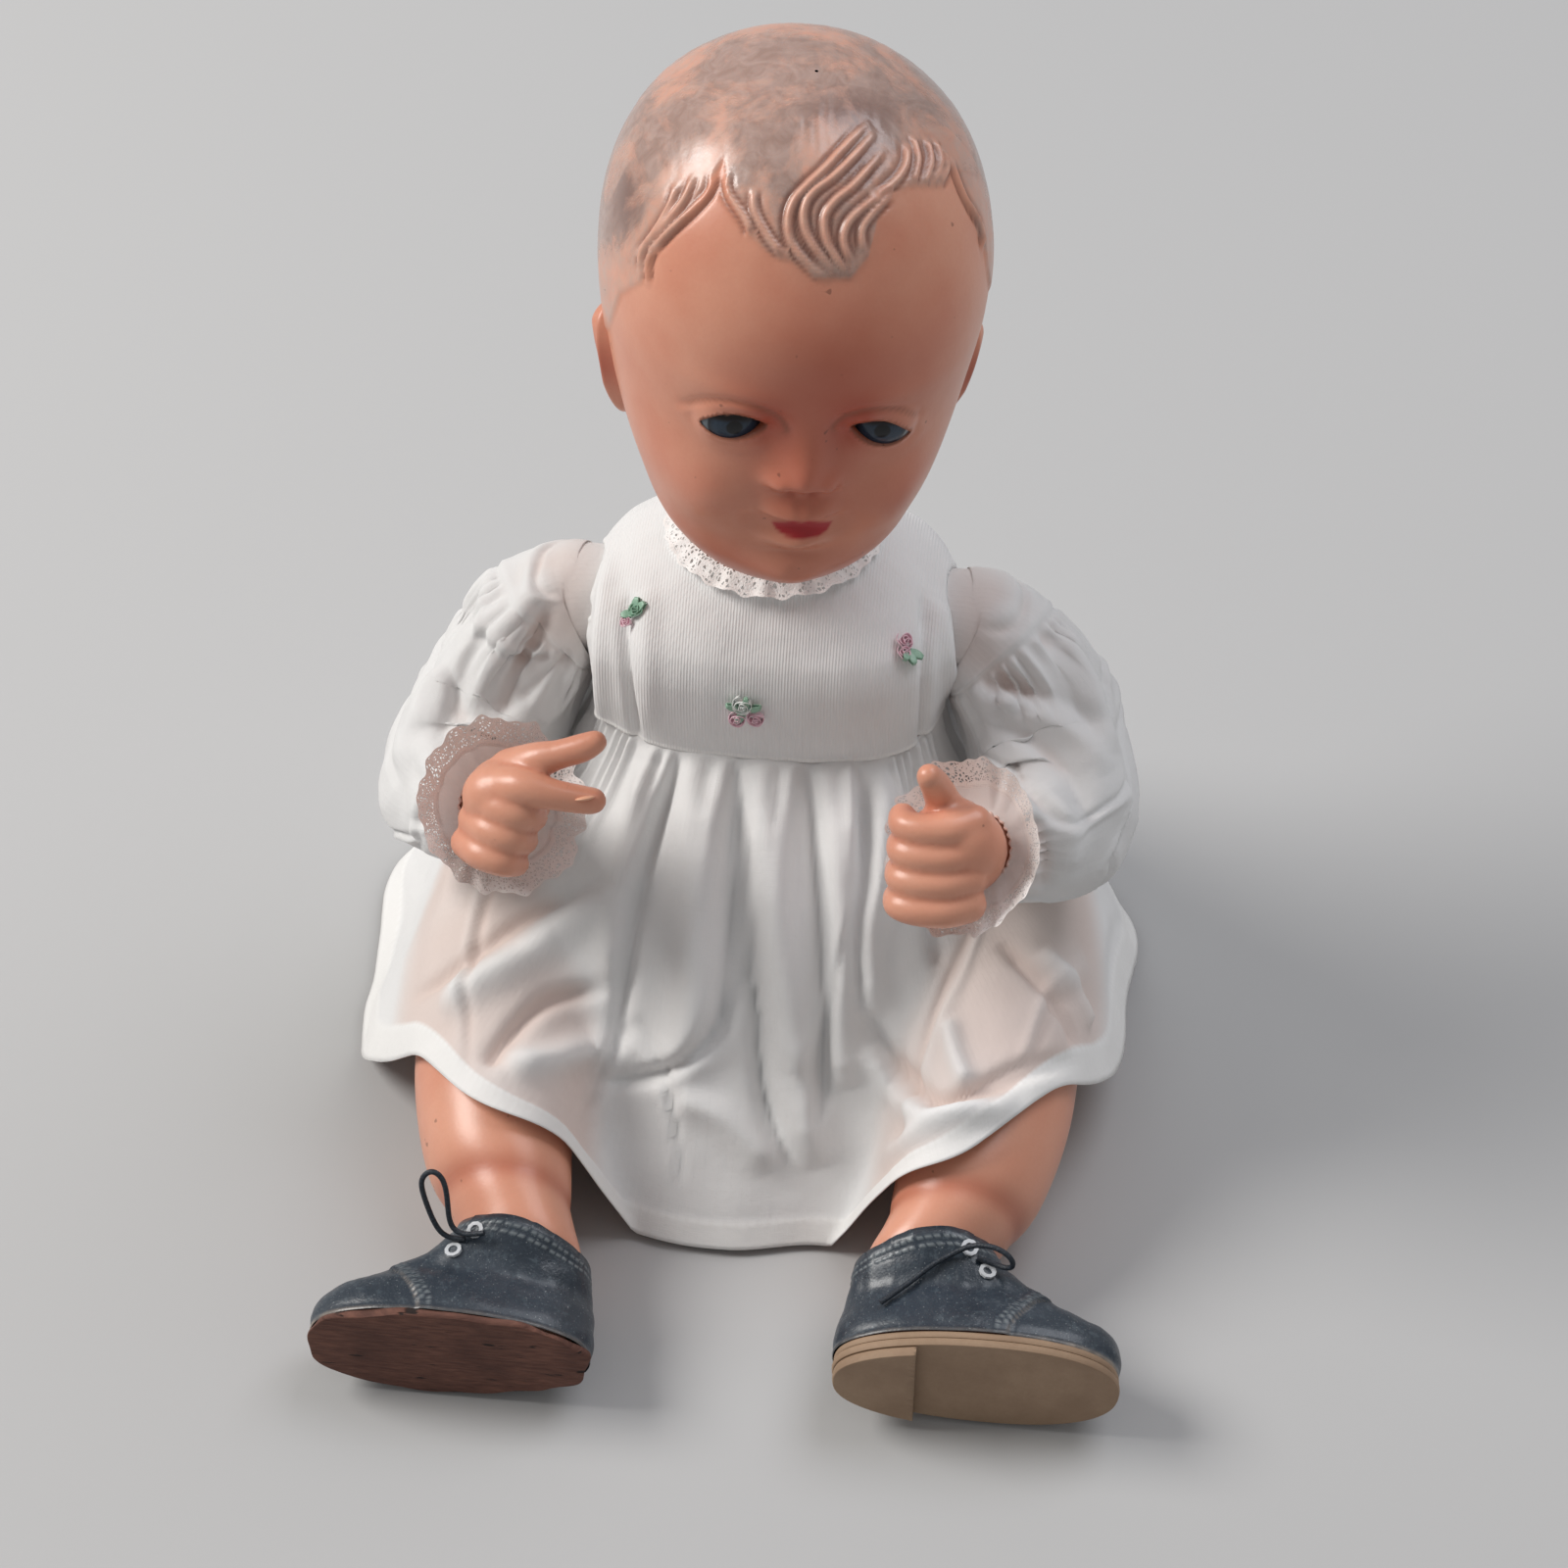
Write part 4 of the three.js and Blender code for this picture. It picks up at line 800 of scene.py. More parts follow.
# a round ear: a raised rim, a bowl in front of it and a plain lobe
def makeEar(side, name):
    def place(u, v):
        angle = 2 * math.pi * u
        reach = min(1.0, v * 1.3)
        tuck = max(0.0, v * 1.3 - 1.0) / 0.3
        c, s = math.cos(angle), math.sin(angle)
        up = reach * ear["long"] * s * (1.0 if s > 0 else 1.12)
        back = reach * ear["wide"] * c * (0.82 + 0.18 * s)
        lobe = smooth(0.2, 0.9, -s)
        high = ear["stand"] * (1 - 0.35 * reach ** 3)
        high += ear["rim"] * bell(reach - 0.84, 0.15) * (1 - 0.75 * lobe) * smooth(-1.15, -0.3, c + 0.3 * s)
        high -= ear["bowl"] * math.exp(-((back + 1.5) / 4.2) ** 2 - ((up + 1) / 6.5) ** 2)
        high -= 1.3 * math.exp(-((back - 0.5) / 5.5) ** 2 - ((up - 9) / 2.2) ** 2)
        high -= tuck * (ear["stand"] + 6) * (1 - 0.35 * tuck * smooth(0, 1, c))
        shrink = 1 - 0.3 * tuck
        flat = Matrix.Rotation(-ear["lean"], 3, "X") @ Vector((high, back * shrink, up * shrink))
        turned = Matrix.Rotation(ear["turn"], 3, "Z") @ flat
        y, z = ear["back"] + turned.y, ear["height"] + turned.z
        return Vector((side * (headSide(y, z) + turned.x - ear["sunk"]), y, z))

    bm = gridShape(ear["columns"], ear["rows"], place, join=0.02)
    rosyShade = paintLayers(bm, "rosyShade")["rosyShade"]
    # painted shade in the bowl of the ear
    for vert in bm.verts:
        back, up = vert.co.y - ear["back"], vert.co.z - ear["height"]
        vert[rosyShade] = 0.9 * bell(back + 2, 6) * bell(up - 1, 9)
    bmesh.ops.transform(bm, matrix=headPlace, verts=bm.verts)
    piece = finish(bm, name, "head", headSkin)
    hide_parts("head_shell")


# one moulding with the head: a round end in the collar, and a column that goes on up into the head
neck = {
    "radius": 21.6,
    "hole": 3.4,
    "steps": 72,
    # change of radius, height above the pivot
    "column": [(-1.6, 7), (-1.8, 14), (-1, 24), (0.5, 32), (3, 39)],
}


def makeNeck():
    radius = neck["radius"]
    outline = [(neck["hole"], -radius)]
    turns = [math.pi * k / 24 for k in range(2, 13)]
    outline += [(radius * math.sin(a), -radius * math.cos(a)) for a in turns]
    outline += [(radius + more, height) for more, height in neck["column"]]
    bm = bmesh.new()
    verts = [bm.verts.new((r * mm, 0, (head["pivot"] + h) * mm)) for r, h in outline]
    edges = [bm.edges.new(pair) for pair in zip(verts, verts[1:])]
    turn = {"cent": (0, 0, 0), "axis": (0, 0, 1), "angle": 2 * math.pi, "use_merge": True}
    bmesh.ops.spin(bm, geom=verts + edges, steps=neck["steps"], **turn)
    bmesh.ops.remove_doubles(bm, verts=bm.verts, dist=0.01 * mm)
    piece = finish(bm, "head_neck", "head", limbSkin)
    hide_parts("head_shell")


# blown glass: a dark blue-grey iris under clear glass, and a flesh-painted lid above it; the white and the
# iris are painted darker as painted shade, with a painted shadow of the upper lid above the iris
def eyeMaterial():
    gloss = {"Roughness": 0.3, "Coat_Weight": 0.35, "Coat_Roughness": 0.04, "Specular_IOR_Level": 0.2}
    material, tree, shader, place = newMaterial("glass_eye_blown", **gloss)
    gaze = painted(tree, "gaze")
    fibres = noiseAt(tree, place, 900, 3, 0.7, 2.0)
    # the iris colours are kept dark, partly as painted shade
    iris = blendColour(tree, fibres, srgb("#182330"), srgb("#344659"))
    edge = ramp(tree, gaze, [(0.0, 0.0), (0.42, 0.0), (0.56, 1.0)])
    iris = blendColour(tree, edge, iris, srgb("#10161e"))
    pupil = ramp(tree, gaze, [(0.0, 1.0), (0.15, 1.0), (0.19, 0.0)])
    iris = blendColour(tree, pupil, iris, srgb("#07090c"))
    # the white of the eye is painted a shaded grey
    white = ramp(tree, gaze, [(0.0, 0.0), (0.56, 0.0), (0.6, 1.0)])
    base = blendColour(tree, white, iris, srgb("#60696f"))
    # painted shadow of the upper lid across the top of the ball
    base = blendColour(tree, painted(tree, "lidShadow"), base, srgb("#1c120e"))
    base = blendColour(tree, painted(tree, "lid"), base, srgb("#c98d72"))
    connect(tree, shader, Base_Color=base)
    return material


def makeEye(side, name, material):
    eye = head["eye"]
    bm = bmesh.new()
    bmesh.ops.create_uvsphere(bm, u_segments=64, v_segments=40, radius=eye["radius"])
    bmesh.ops.rotate(bm, verts=bm.verts, matrix=Matrix.Rotation(math.pi / 2, 3, "X"))
    layers = paintLayers(bm, "gaze", "lid", "lidShadow")
    look = Vector((0.02, -1, 0.04)).normalized()
    for vert in bm.verts:
        way = vert.co.normalized()
        vert[layers["gaze"]] = way.angle(look) / 1.2
        rise = math.degrees(math.atan2(way.z, -way.y))
        vert[layers["lid"]] = smooth(22.5, 24, rise) if rise < 150 else 1
        # painted shadow of the upper lid
        vert[layers["lidShadow"]] = smooth(8, 16, rise)
    bmesh.ops.translate(bm, verts=bm.verts, vec=(side * eye["side"], -eye["depth"], eye["height"]))
    bmesh.ops.transform(bm, matrix=headPlace, verts=bm.verts)
    piece = finish(bm, name + "_ball", "eyes", material)
    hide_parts(name)


makeHead()
for label, side in sides.items():
    makeEar(side, "ear_" + label)
makeNeck()
glassEye = eyeMaterial()
for label, side in sides.items():
    makeEye(side, "eye_" + label, glassEye)
print("head and eyes made")


# arms and legs have the same routes and sections as the solids, in millimetres
arms = {
    "height": 137,
    "wrist": 10.5,
    "routes": {
        "right": [
            [50.3, 0, 137, 16.5], [60, -0.5, 136, 16], [69, -3, 131, 15.5], [79, -9, 121, 15.5],
            [88, -21, 107, 15.5], [95, -41, 98, 15.5], [91, -58, 101, 13.5],
            [83, -71, 111, 10.5], [79, -78, 119, 10.5],
        ],
        "left": [
            [50.3, 0, 137, 16.5], [60, -0.5, 136, 16], [69, -3, 131, 15.5], [79, -9, 122, 15.5],
            [88, -21, 110, 15.5], [92, -41, 102, 15.5], [86, -58, 103, 13.5],
            [76, -71, 110, 10.5], [71, -78, 117, 10.5],
        ],
    },
    "palms": {"right": (73, -85, 131), "left": (63, -86, 127)},
    "around": 64,
    "along": 110,
    "voxel": 0.85,
    "easing": 9,
    "fingerStep": 1.1,  # between the balls of a finger
    "crease": 1.1,  # the fold where the chubby forearm meets the hand
}


def addBall(bm, side, centre, radii, lean=0.0):
    made = bmesh.ops.create_icosphere(bm, subdivisions=3, radius=1)["verts"]
    shape = Matrix.Diagonal(Vector(radii)).to_4x4()
    mirror = Matrix.Diagonal((side, 1, 1)).to_4x4()
    lean = Matrix.Rotation(lean, 4, "X")
    bmesh.ops.transform(bm, matrix=mirror @ Matrix.Translation(centre) @ lean @ shape, verts=made)


# a finger: balls close together along a smooth path of x, y, z, radius
def addFinger(bm, side, rows):
    length = sum((Vector(b[:3]) - Vector(a[:3])).length for a, b in zip(rows, rows[1:]))
    count = round(length / arms["fingerStep"])
    for k in range(count + 1):
        x, y, z, r = catmull(rows, k / count)
        addBall(bm, side, (x, y, z), (r, r, r))


def addTube(bm, side, rows):
    rings = ringPath(rows, arms["along"])
    count = len(rings)

    def place(u, v):
        k = round(v * (count + 1))
        middle, radius, along, first, second = rings[max(0, min(count - 1, k - 1))]
        if k in (0, count + 1):
            return middle
        share = (k - 1) / (count - 1)
        if share < 0.3:
            along = along.lerp(Vector((1, 0, 0)), 1 - share / 0.3).normalized()
            first = (first - along * first.dot(along)).normalized()
            second = along.cross(first)
        radius -= arms["crease"] * bell(share - 0.9, 0.022)
        angle = 2 * math.pi * u
        return middle + first * radius * math.cos(angle) + second * radius * math.sin(angle)

    tube = gridShape(arms["around"], count + 1, place, join=0.01)
    bmesh.ops.scale(tube, verts=tube.verts, vec=(side, 1, 1))
    bmesh.ops.recalc_face_normals(tube, faces=tube.faces)
    addShape(bm, tube)


# the first finger points, the thumb lies behind it and the other fingers are curled
def addPointingHand(bm, side):
    x, y, z = arms["palms"]["right"]
    addBall(bm, side, (x, y, z), (13.5, 12.5, 14.5), 0.3)
    addBall(bm, side, (x + 1, y - 4, z + 4), (12.5, 10.5, 11.5))
    addBall(bm, side, (x - 3, y + 1, z + 8), (9.5, 9, 7.5))
    addBall(bm, side, (x - 1, y - 4, z + 5), (11.5, 10, 9.5))
    pointing = [(75, -89, 139, 7.2), (67, -92.5, 143.5, 6), (58, -94, 143, 4.9), (48, -93, 140.5, 4.4),
                (45.5, -92.5, 140, 4.1)]
    thumb = [(72, -82, 139, 7.5), (64, -83.5, 146, 5.9), (57, -83.5, 149.5, 4.6), (50, -82.5, 152, 4.5),
             (46, -81.5, 154, 3.7)]
    addFinger(bm, side, pointing)
    addFinger(bm, side, thumb)
    for k in range(3):
        dx, dy, dz = 2.2 * k, -4.3 * k, -6.1 * k
        curled = [(80, -88, 134, 5.8), (74.5, -95, 137, 5.6), (67.5, -97.5, 136.5, 5.1),
                  (64, -93.5, 132, 4.6)]
        addFinger(bm, side, [(a + dx, b + dy, c + dz, r - 0.3 * k) for a, b, c, r in curled])


# a fist with its thumb up
def addFist(bm, side):
    x, y, z = arms["palms"]["left"]
    addBall(bm, side, (x, y, z), (13, 12.5, 15.5))
    addBall(bm, side, (x + 4, y - 2, z - 1), (13, 11.5, 16))
    thumb = [(61, -80, 133, 6), (58.5, -81, 142, 5.2), (56.5, -83, 149, 4.6), (55, -85, 153.5, 4)]
    addFinger(bm, side, thumb)
    for k in range(4):
        up = 8.3 * (k - 1.5)
        dy, dz = 0.55 * up, 0.84 * up
        wrapped = [(69, -94, 126.5, 6), (62, -98, 127, 5.5), (54, -98.5, 127, 5), (48.5, -96, 126, 4.7),
                   (47.5, -91, 124, 4.4)]
        addFinger(bm, side, [(a, b + dy, c + dz, r) for a, b, c, r in wrapped])


# paints shade into the hollows between fingers and into creases, darker where the surface is more hollow
def paintHollowShade(obj):
    bm = bmesh.new()
    bm.from_mesh(obj.data)
    bm.normal_update()
    layer = paintLayers(bm, "rosyShade")["rosyShade"]
    raw = {}
    for vert in bm.verts:
        around = [e.other_vert(vert).co - vert.co for e in vert.link_edges]
        raw[vert] = sum(d.dot(vert.normal) / max(d.length, 1e-6) for d in around) / len(around)
    for vert in bm.verts:
        near = [raw[e.other_vert(vert)] for e in vert.link_edges] + [raw[vert]]
        vert[layer] = max(0.0, min(1.0, 5 * sum(near) / len(near)))
    bm.to_mesh(obj.data)
    bm.free()


def makeArm(label):
    side = sides[label]
    bm = bmesh.new()
    addTube(bm, side, arms["routes"][label] + [list(arms["palms"][label]) + [9.5]])
    if label == "right":
        addPointingHand(bm, side)
    else:
        addFist(bm, side)
    inMetres(bm)
    piece = finish(bm, "arm_" + label, "arm_" + label, limbSkin)
    remesh = piece.modifiers.new("one skin", "REMESH")
    remesh.mode = "VOXEL"
    remesh.voxel_size = arms["voxel"] * mm
    soften = piece.modifiers.new("soften", "SMOOTH")
    soften.factor = 0.5
    soften.iterations = arms["easing"]
    flatten(piece)
    paintHollowShade(piece)
    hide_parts("arm_" + label + "_shell")


# a thin nail lies on the tip of the pointing finger
nail = {
    "radii": (3.1, 2.4, 0.7),
    "lean": math.radians(-38),
    "tilt": math.radians(-12),
    "at": (-47.6, -95.6, 143.9),
}


def makeNail():
    bm = bmesh.new()
    bmesh.ops.create_uvsphere(bm, u_segments=32, v_segments=20, radius=1)
    lean = Matrix.Rotation(nail["lean"], 4, "X") @ Matrix.Rotation(nail["tilt"], 4, "Y")
    bmesh.ops.transform(bm, matrix=lean @ Matrix.Diagonal((*nail["radii"], 1)), verts=bm.verts)
    bmesh.ops.translate(bm, verts=bm.verts, vec=nail["at"])
    inMetres(bm)
    piece = finish(bm, "nail", "arm_right", nailPaint)
    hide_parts("arm_right_shell")


legs = {
    "plane": 41.3,
    "rows": [
        [66, 31, 38, 3, 3], [66, 30, 38, 12, 12], [66, 25, 38, 20, 20], [66, 13, 38, 28.5, 28.5],
        [66, 0, 38, 31.5, 31.5], [70, -35, 39, 32.5, 32], [75, -70, 38, 30, 29.5], [77, -100, 36.5, 27.5, 27],
        [76, -125, 33, 25.5, 25], [71, -150, 29.5, 23, 22.5], [65, -165, 27, 19.5, 19.5],
    ],
    "ankle": 166,
    "inShoe": 1.4,  # between the foot and the inside of the leather
    "around": 96,
    "along": 150,
    # place along the leg, width and depth of the folds of baby fat
    "creases": [(-161, 3.4, 0.5)],
}


def legStretch(label):
    return shoes["seam"][label] / shoes["seam"]["right"]


# the left shoe sits a little closer and further out, and the leg with it
def legRowsTo(label):
    stretch = legStretch(label)
    out = shoes["out"][label]
    return [[x + out * max(0, -y / legs["ankle"]), y * stretch if y < 0 else y, z, a, b]
            for x, y, z, a, b in legs["rows"]]


def makeLeg(label):
    rows = legRowsTo(label)
    for station in (5, 4, 3, 2, 1, 0):
        shoe = shoeRow(label, shoes["stations"][station], -shoes["wall"] - legs["inShoe"])
        y, heelX, toeX, half, z = shoe
        rows.append([(heelX + toeX) / 2, y, z, (toeX - heelX) / 2, half])
    last = rows[-1]
    rows[-1] = [last[0], last[1] + 1.5, last[2], last[3] - 3, last[4] - 3]
    rows.append([last[0], last[1] + 1, last[2], 2, 2])
    stretch = legStretch(label)

    def place(u, v):
        x, y, z, a, b = catmull(rows, v)
        for where, width, depth in legs["creases"]:
            fold = depth * bell(y - where * stretch, width)
            a, b = a - fold, b - fold
        if v == 0 or v == 1:
            a = b = 0
        angle = 2 * math.pi * u
        return Vector((max(legs["plane"], x + a * math.cos(angle)), y, z + b * math.sin(angle)))

    bm = gridShape(legs["around"], legs["along"], place, join=0.01)
    inMetres(bm, sides[label])
    # painted shade in the fold of baby fat
    layer = paintLayers(bm, "rosyShade")["rosyShade"]
    for vert in bm.verts:
        folds = [bell(vert.co.y / mm - where * stretch, width) for where, width, _ in legs["creases"]]
        vert[layer] = 0.6 * max(folds)
    piece = finish(bm, "leg_" + label, "leg_" + label, limbSkin)
    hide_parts("leg_" + label + "_shell")


nailPaint = plainMaterial("nail_painted_satin", "#e2ab8c", Roughness=0.3)
for label in sides:
    makeArm(label)
    makeLeg(label)
makeNail()
print("arms and legs made")


# dress: white cotton batiste, so thin that the limbs glow through
dress = {
    "thick": 1.2,
    "waist": 117,
    # height, half width, depth in front, depth behind, and less than 1 for a boxy section
    "bodice": [
        [117, 55.5, 45.5, 44, 0.62], [131, 56.5, 48, 44, 0.62], [146, 57, 48, 42.5, 0.66],
        [155, 53.5, 45, 39, 0.72], [163, 45, 38.5, 35, 0.82], [170, 35.5, 31.5, 30, 0.92],
        [176.5, 26.4, 26.2, 26.2, 1],
    ],
    "armhole": 18.2,
    "side": 40,  # the armholes lie further out than this
    "bodiceAround": 400, "bodiceUp": 116,
    "weave": 0.42,  # from thread to thread
    "stitch": 2.6,  # from stitch to stitch
    # what the weave is laid out for, in metres; for the skirt its width only
    "bodiceWeave": (0.33, 0.075), "sleeveWeave": (0.16, 0.17), "skirtWeave": 0.78,
    "bodiceThick": 0.6, "skirtThick": 0.35, "sleeveThick": 0.3,
}
skirt = {
    "shift": -4, "centre": -35, "width": 127, "front": 113, "back": 112, "lift": 2.2, "ease": 3.4,
    "over": {"right": 9, "left": 17}, "overAt": 80, "overHalf": 34,
    "sleeveEase": 4, "gathers": 52, "gatherDepth": 1.25, "hemBand": 9.5, "length": 165,
    "around": 420, "down": 112,
    "backHem": (42, 64),  # behind this depth the hem comes down to the floor
}
sleeves = {
    "seam": 58.4, "seamAt": 0.33, "bag": 25.5, "end": 2, "gathers": 26,
    "around": 200, "along": 180,
    # the head of the sleeve is flatter than the solid and its seam sits lower
    "fuller": [0, -0.9, -0.9, 0.6, 1.2, 0, 0, 0, 0, -1.2],
    # the cloth turns from the torso to the arm between these, in metres
    "blendFrom": 0.0585, "blendTo": (0.078, -0.006, 0.128),
}
# creases of the cloth in the photo: points along each, width and height in mm; a height below 0 is a valley
skirtFolds = [
    ([(757, 778), (762, 860), (765, 950), (771, 1040), (781, 1120), (806, 1190)], 2.8, -5.2),
    ([(772, 778), (785, 870), (795, 960), (808, 1060), (822, 1140), (838, 1190)], 7, 7.3),
    ([(826, 778), (832, 870), (838, 960), (842, 1060), (832, 1150)], 2.6, -5.3),
    ([(722, 778), (716, 850), (712, 930), (712, 1010), (702, 1070), (672, 1100)], 8, 8.5),
    ([(748, 820), (746, 930), (742, 1010), (722, 1060), (680, 1092), (612, 1106)], 2.6, -6.9),
    ([(690, 778), (668, 850), (648, 930), (638, 1000), (630, 1062)], 2.6, -5.3),
    ([(664, 778), (650, 850), (632, 930), (624, 1000)], 5, 5.3),
    ([(632, 900), (560, 960), (500, 1000), (450, 1030)], 6, 6.0),
    ([(620, 1010), (560, 1020), (512, 1066), (500, 1090)], 3, -4.1),
    ([(628, 1066), (590, 1072), (560, 1082), (516, 1088)], 5, 5.3),
    ([(620, 898), (540, 935), (470, 985), (420, 1020)], 3, -3.2),
    ([(884, 780), (880, 880), (874, 960), (880, 1030)], 2.6, -4.9),
    ([(862, 780), (858, 880), (856, 960), (858, 1060), (870, 1110)], 6, 6.9),
    ([(905, 780), (895, 880), (884, 960), (888, 1040)], 5, 5.3),
    ([(880, 1030), (912, 1080), (952, 1124), (1000, 1112), (1050, 1090), (1100, 1082)], 3, -6.0),
    ([(886, 1062), (915, 1110), (950, 1140), (1010, 1128)], 5, 4.5),
    ([(968, 1040), (976, 1080), (988, 1112)], 3, 4.1),
    ([(1020, 960), (1060, 1000), (1090, 1040), (1100, 1070)], 3, -3.6),
    ([(1060, 970), (1096, 1010), (1112, 1050)], 4, 3.6),
    ([(936, 780), (940, 860), (950, 940), (958, 990)], 3, -4.1),
    ([(690, 1120), (740, 1140), (790, 1190)], 5, 4.1),
    ([(900, 1180), (960, 1150), (1040, 1128)], 4, 3.2),
]
bodiceFolds = [
    ([(609, 560), (600, 620), (598, 690), (603, 768)], 2.4, -2.4),
    ([(622, 566), (614, 640), (614, 700), (620, 766)], 4, 2.6),
    ([(640, 606), (636, 650), (640, 700), (650, 760)], 2.0, -3.2),
    ([(660, 600), (660, 660), (664, 740)], 4, 1.4),
    ([(943, 608), (946, 660), (944, 720), (941, 766)], 2.0, -3.2),
    ([(958, 612), (966, 670), (968, 740)], 4, 2.6),
    ([(985, 640), (978, 700), (974, 760)], 2.2, -1.4),
]
sleeveFolds = {
    "right": [
        ([(560, 620), (530, 680), (510, 730)], 3, -2.9),
        ([(545, 600), (505, 670), (480, 730)], 5, 3.3),
        ([(585, 668), (556, 690), (530, 716)], 2.4, -2.4),
        ([(500, 640), (470, 700), (450, 760)], 3, -2.1),
        ([(470, 740), (436, 800), (420, 860)], 5, 2.9),
        ([(455, 790), (430, 840), (420, 886)], 2.2, -2.1),
        ([(590, 690), (570, 720), (548, 738)], 4, 2.1),
    ],
    "left": [
        ([(1010, 690), (1040, 700), (1090, 720), (1130, 740)], 3.5, -1.9),
        ([(1005, 712), (1050, 726), (1100, 752), (1130, 790)], 5, 3.4),
        ([(1000, 738), (1040, 748), (1090, 790), (1110, 840)], 3, -2),
        ([(1060, 640), (1090, 690), (1120, 760)], 4, -2.1),
        ([(1080, 640), (1110, 700), (1136, 770)], 5, 2.7),
        ([(1060, 800), (1090, 840), (1090, 890)], 4, 2.7),
        ([(1050, 830), (1070, 870), (1066, 910)], 2.4, -2.4),
        ([(1000, 760), (1030, 800), (1050, 850)], 4, 2.4),
    ],
}


# thin bleached cotton, plain woven: soft white, a little see-through and dusty, with painted show-through: a
# darker pinkish tint where the limbs lie close under it
def clothMaterial(name, thin, rib=0.0):
    surface = {"Roughness": 0.85, "Sheen_Weight": 0.2, "Specular_IOR_Level": 0.25}
    material, tree, shader, place = newMaterial(name, **surface)
    cloud = noiseAt(tree, place, 22, 3)
    base = blendColour(tree, cloud, srgb("#f3f3f3"), srgb("#eae9e8"))
    # painted show-through and shade: a darker pinkish tint where limbs lie close under the cloth
    base = blendColour(tree, painted(tree, "near"), base, srgb("#dfbfb0"))
    base = blendColour(tree, painted(tree, "band"), base, srgb("#f6f5f3"))
    stitch = painted(tree, "stitch")
    uv = addNode(tree, "ShaderNodeUVMap", {"uv_map": "UVMap"}).outputs[0]
    parts = addNode(tree, "ShaderNodeSeparateXYZ", None, {0: uv})
    dash = sums(tree, "FRACT", sums(tree, "DIVIDE", parts.outputs[0], dress["stitch"] * mm))
    dash = sums(tree, "LESS_THAN", dash, 0.62)
    base = blendColour(tree, sums(tree, "MULTIPLY", stitch, dash), base, srgb("#ffffff"))
    turns = 2 * math.pi / (dress["weave"] * mm)
    warp, weft = (sums(tree, "SINE", sums(tree, "MULTIPLY", parts.outputs[k], turns)) for k in (0, 1))
    threads = sums(tree, "MULTIPLY", warp, weft)
    normal = bump(tree, threads, 0.00004, 0.3)
    if rib:
        level = addNode(tree, "ShaderNodeSeparateXYZ", None, {0: place}).outputs[0]
        cord = sums(tree, "SINE", sums(tree, "MULTIPLY", level, 2 * math.pi / (rib * mm)))
        normal = bump(tree, cord, 0.00012, 0.45, normal)
    slubs = addNode(tree, "ShaderNodeMapping", None, {"Vector": uv, "Scale": (220, 2600, 1)}).outputs[0]
    normal = bump(tree, noiseAt(tree, slubs, 1, 2), 0.00012, 0.5, normal)
    normal = bump(tree, noiseAt(tree, place, 160, 4), 0.0009, 0.35, normal)
    holes = sums(tree, "MULTIPLY", sums(tree, "SUBTRACT", sums(tree, "MULTIPLY", stitch, 0.6), dash), 0.0002)
    normal = bump(tree, holes, 1.0, 0.5, normal)
    connect(tree, shader, Base_Color=base, Normal=normal)
    through = addNode(tree, "ShaderNodeBsdfTranslucent", None, {"Color": srgb("#f2ebe6"), "Normal": normal})
    soft = addNode(tree, "ShaderNodeMixShader", None, {0: thin, 1: shader.outputs[0], 2: through.outputs[0]})
    tree.links.new(soft.outputs[0], tree.nodes["Material Output"].inputs["Surface"])
    return material


batiste = clothMaterial("cotton_batiste_woven", 0.1)
voile = clothMaterial("cotton_voile_woven", 0.16)
dimity = clothMaterial("cotton_dimity_corded", 0.05, rib=0.95)


def bodicePoint(angle, z):
    _, w, f, b, power = smoothRowAt(dress["bodice"], z)
    w, f, b = (r + dress["thick"] for r in (w, f, b))
    y = (b - f) / 2 - (b + f) / 2 * boxed(math.cos(angle), power)
    return Vector((w * boxed(math.sin(angle), power), y, z))


# moves the cloth out along its own normals
def fineFolds(bm, lines, extra):
    bm.normal_update()
    moves = [(vert, foldHeight(lines, vert.co) + extra(vert)) for vert in bm.verts]
    for vert, out in moves:
        vert.co += vert.normal * out


# painted show-through: where the limbs nearly touch the cloth their tint is painted on it, and the limbs
# never come through it
def paintNear(bm, layer, limbs, reach, clear=1.0):
    graph = bpy.context.evaluated_depsgraph_get()
    trees = [BVHTree.FromObject(bpy.data.objects[name], graph) for name in limbs]
    for vert in bm.verts:
        spot, way, _, distance = min((t.find_nearest(vert.co) for t in trees), key=lambda hit: hit[3])
        off = (vert.co - spot).dot(way) / mm
        if distance < 12 * mm and off < clear:
            vert.co += way * (clear - off) * mm
        vert[layer] = 0.6 * smooth(reach, 1.5, distance / mm)


# turns the net so that its faces look away from a point
def faceOut(bm, middle):
    bm.normal_update()
    total = sum(f.normal.dot(f.calc_center_median() - middle) for f in bm.faces)
    if total < 0:
        bmesh.ops.reverse_faces(bm, faces=bm.faces)
        bm.normal_update()


def thicken(obj, thick, offset=-1):
    solid = obj.modifiers.new("thickness", "SOLIDIFY")
    solid.thickness = thick * mm
    solid.offset = offset
    flatten(obj)


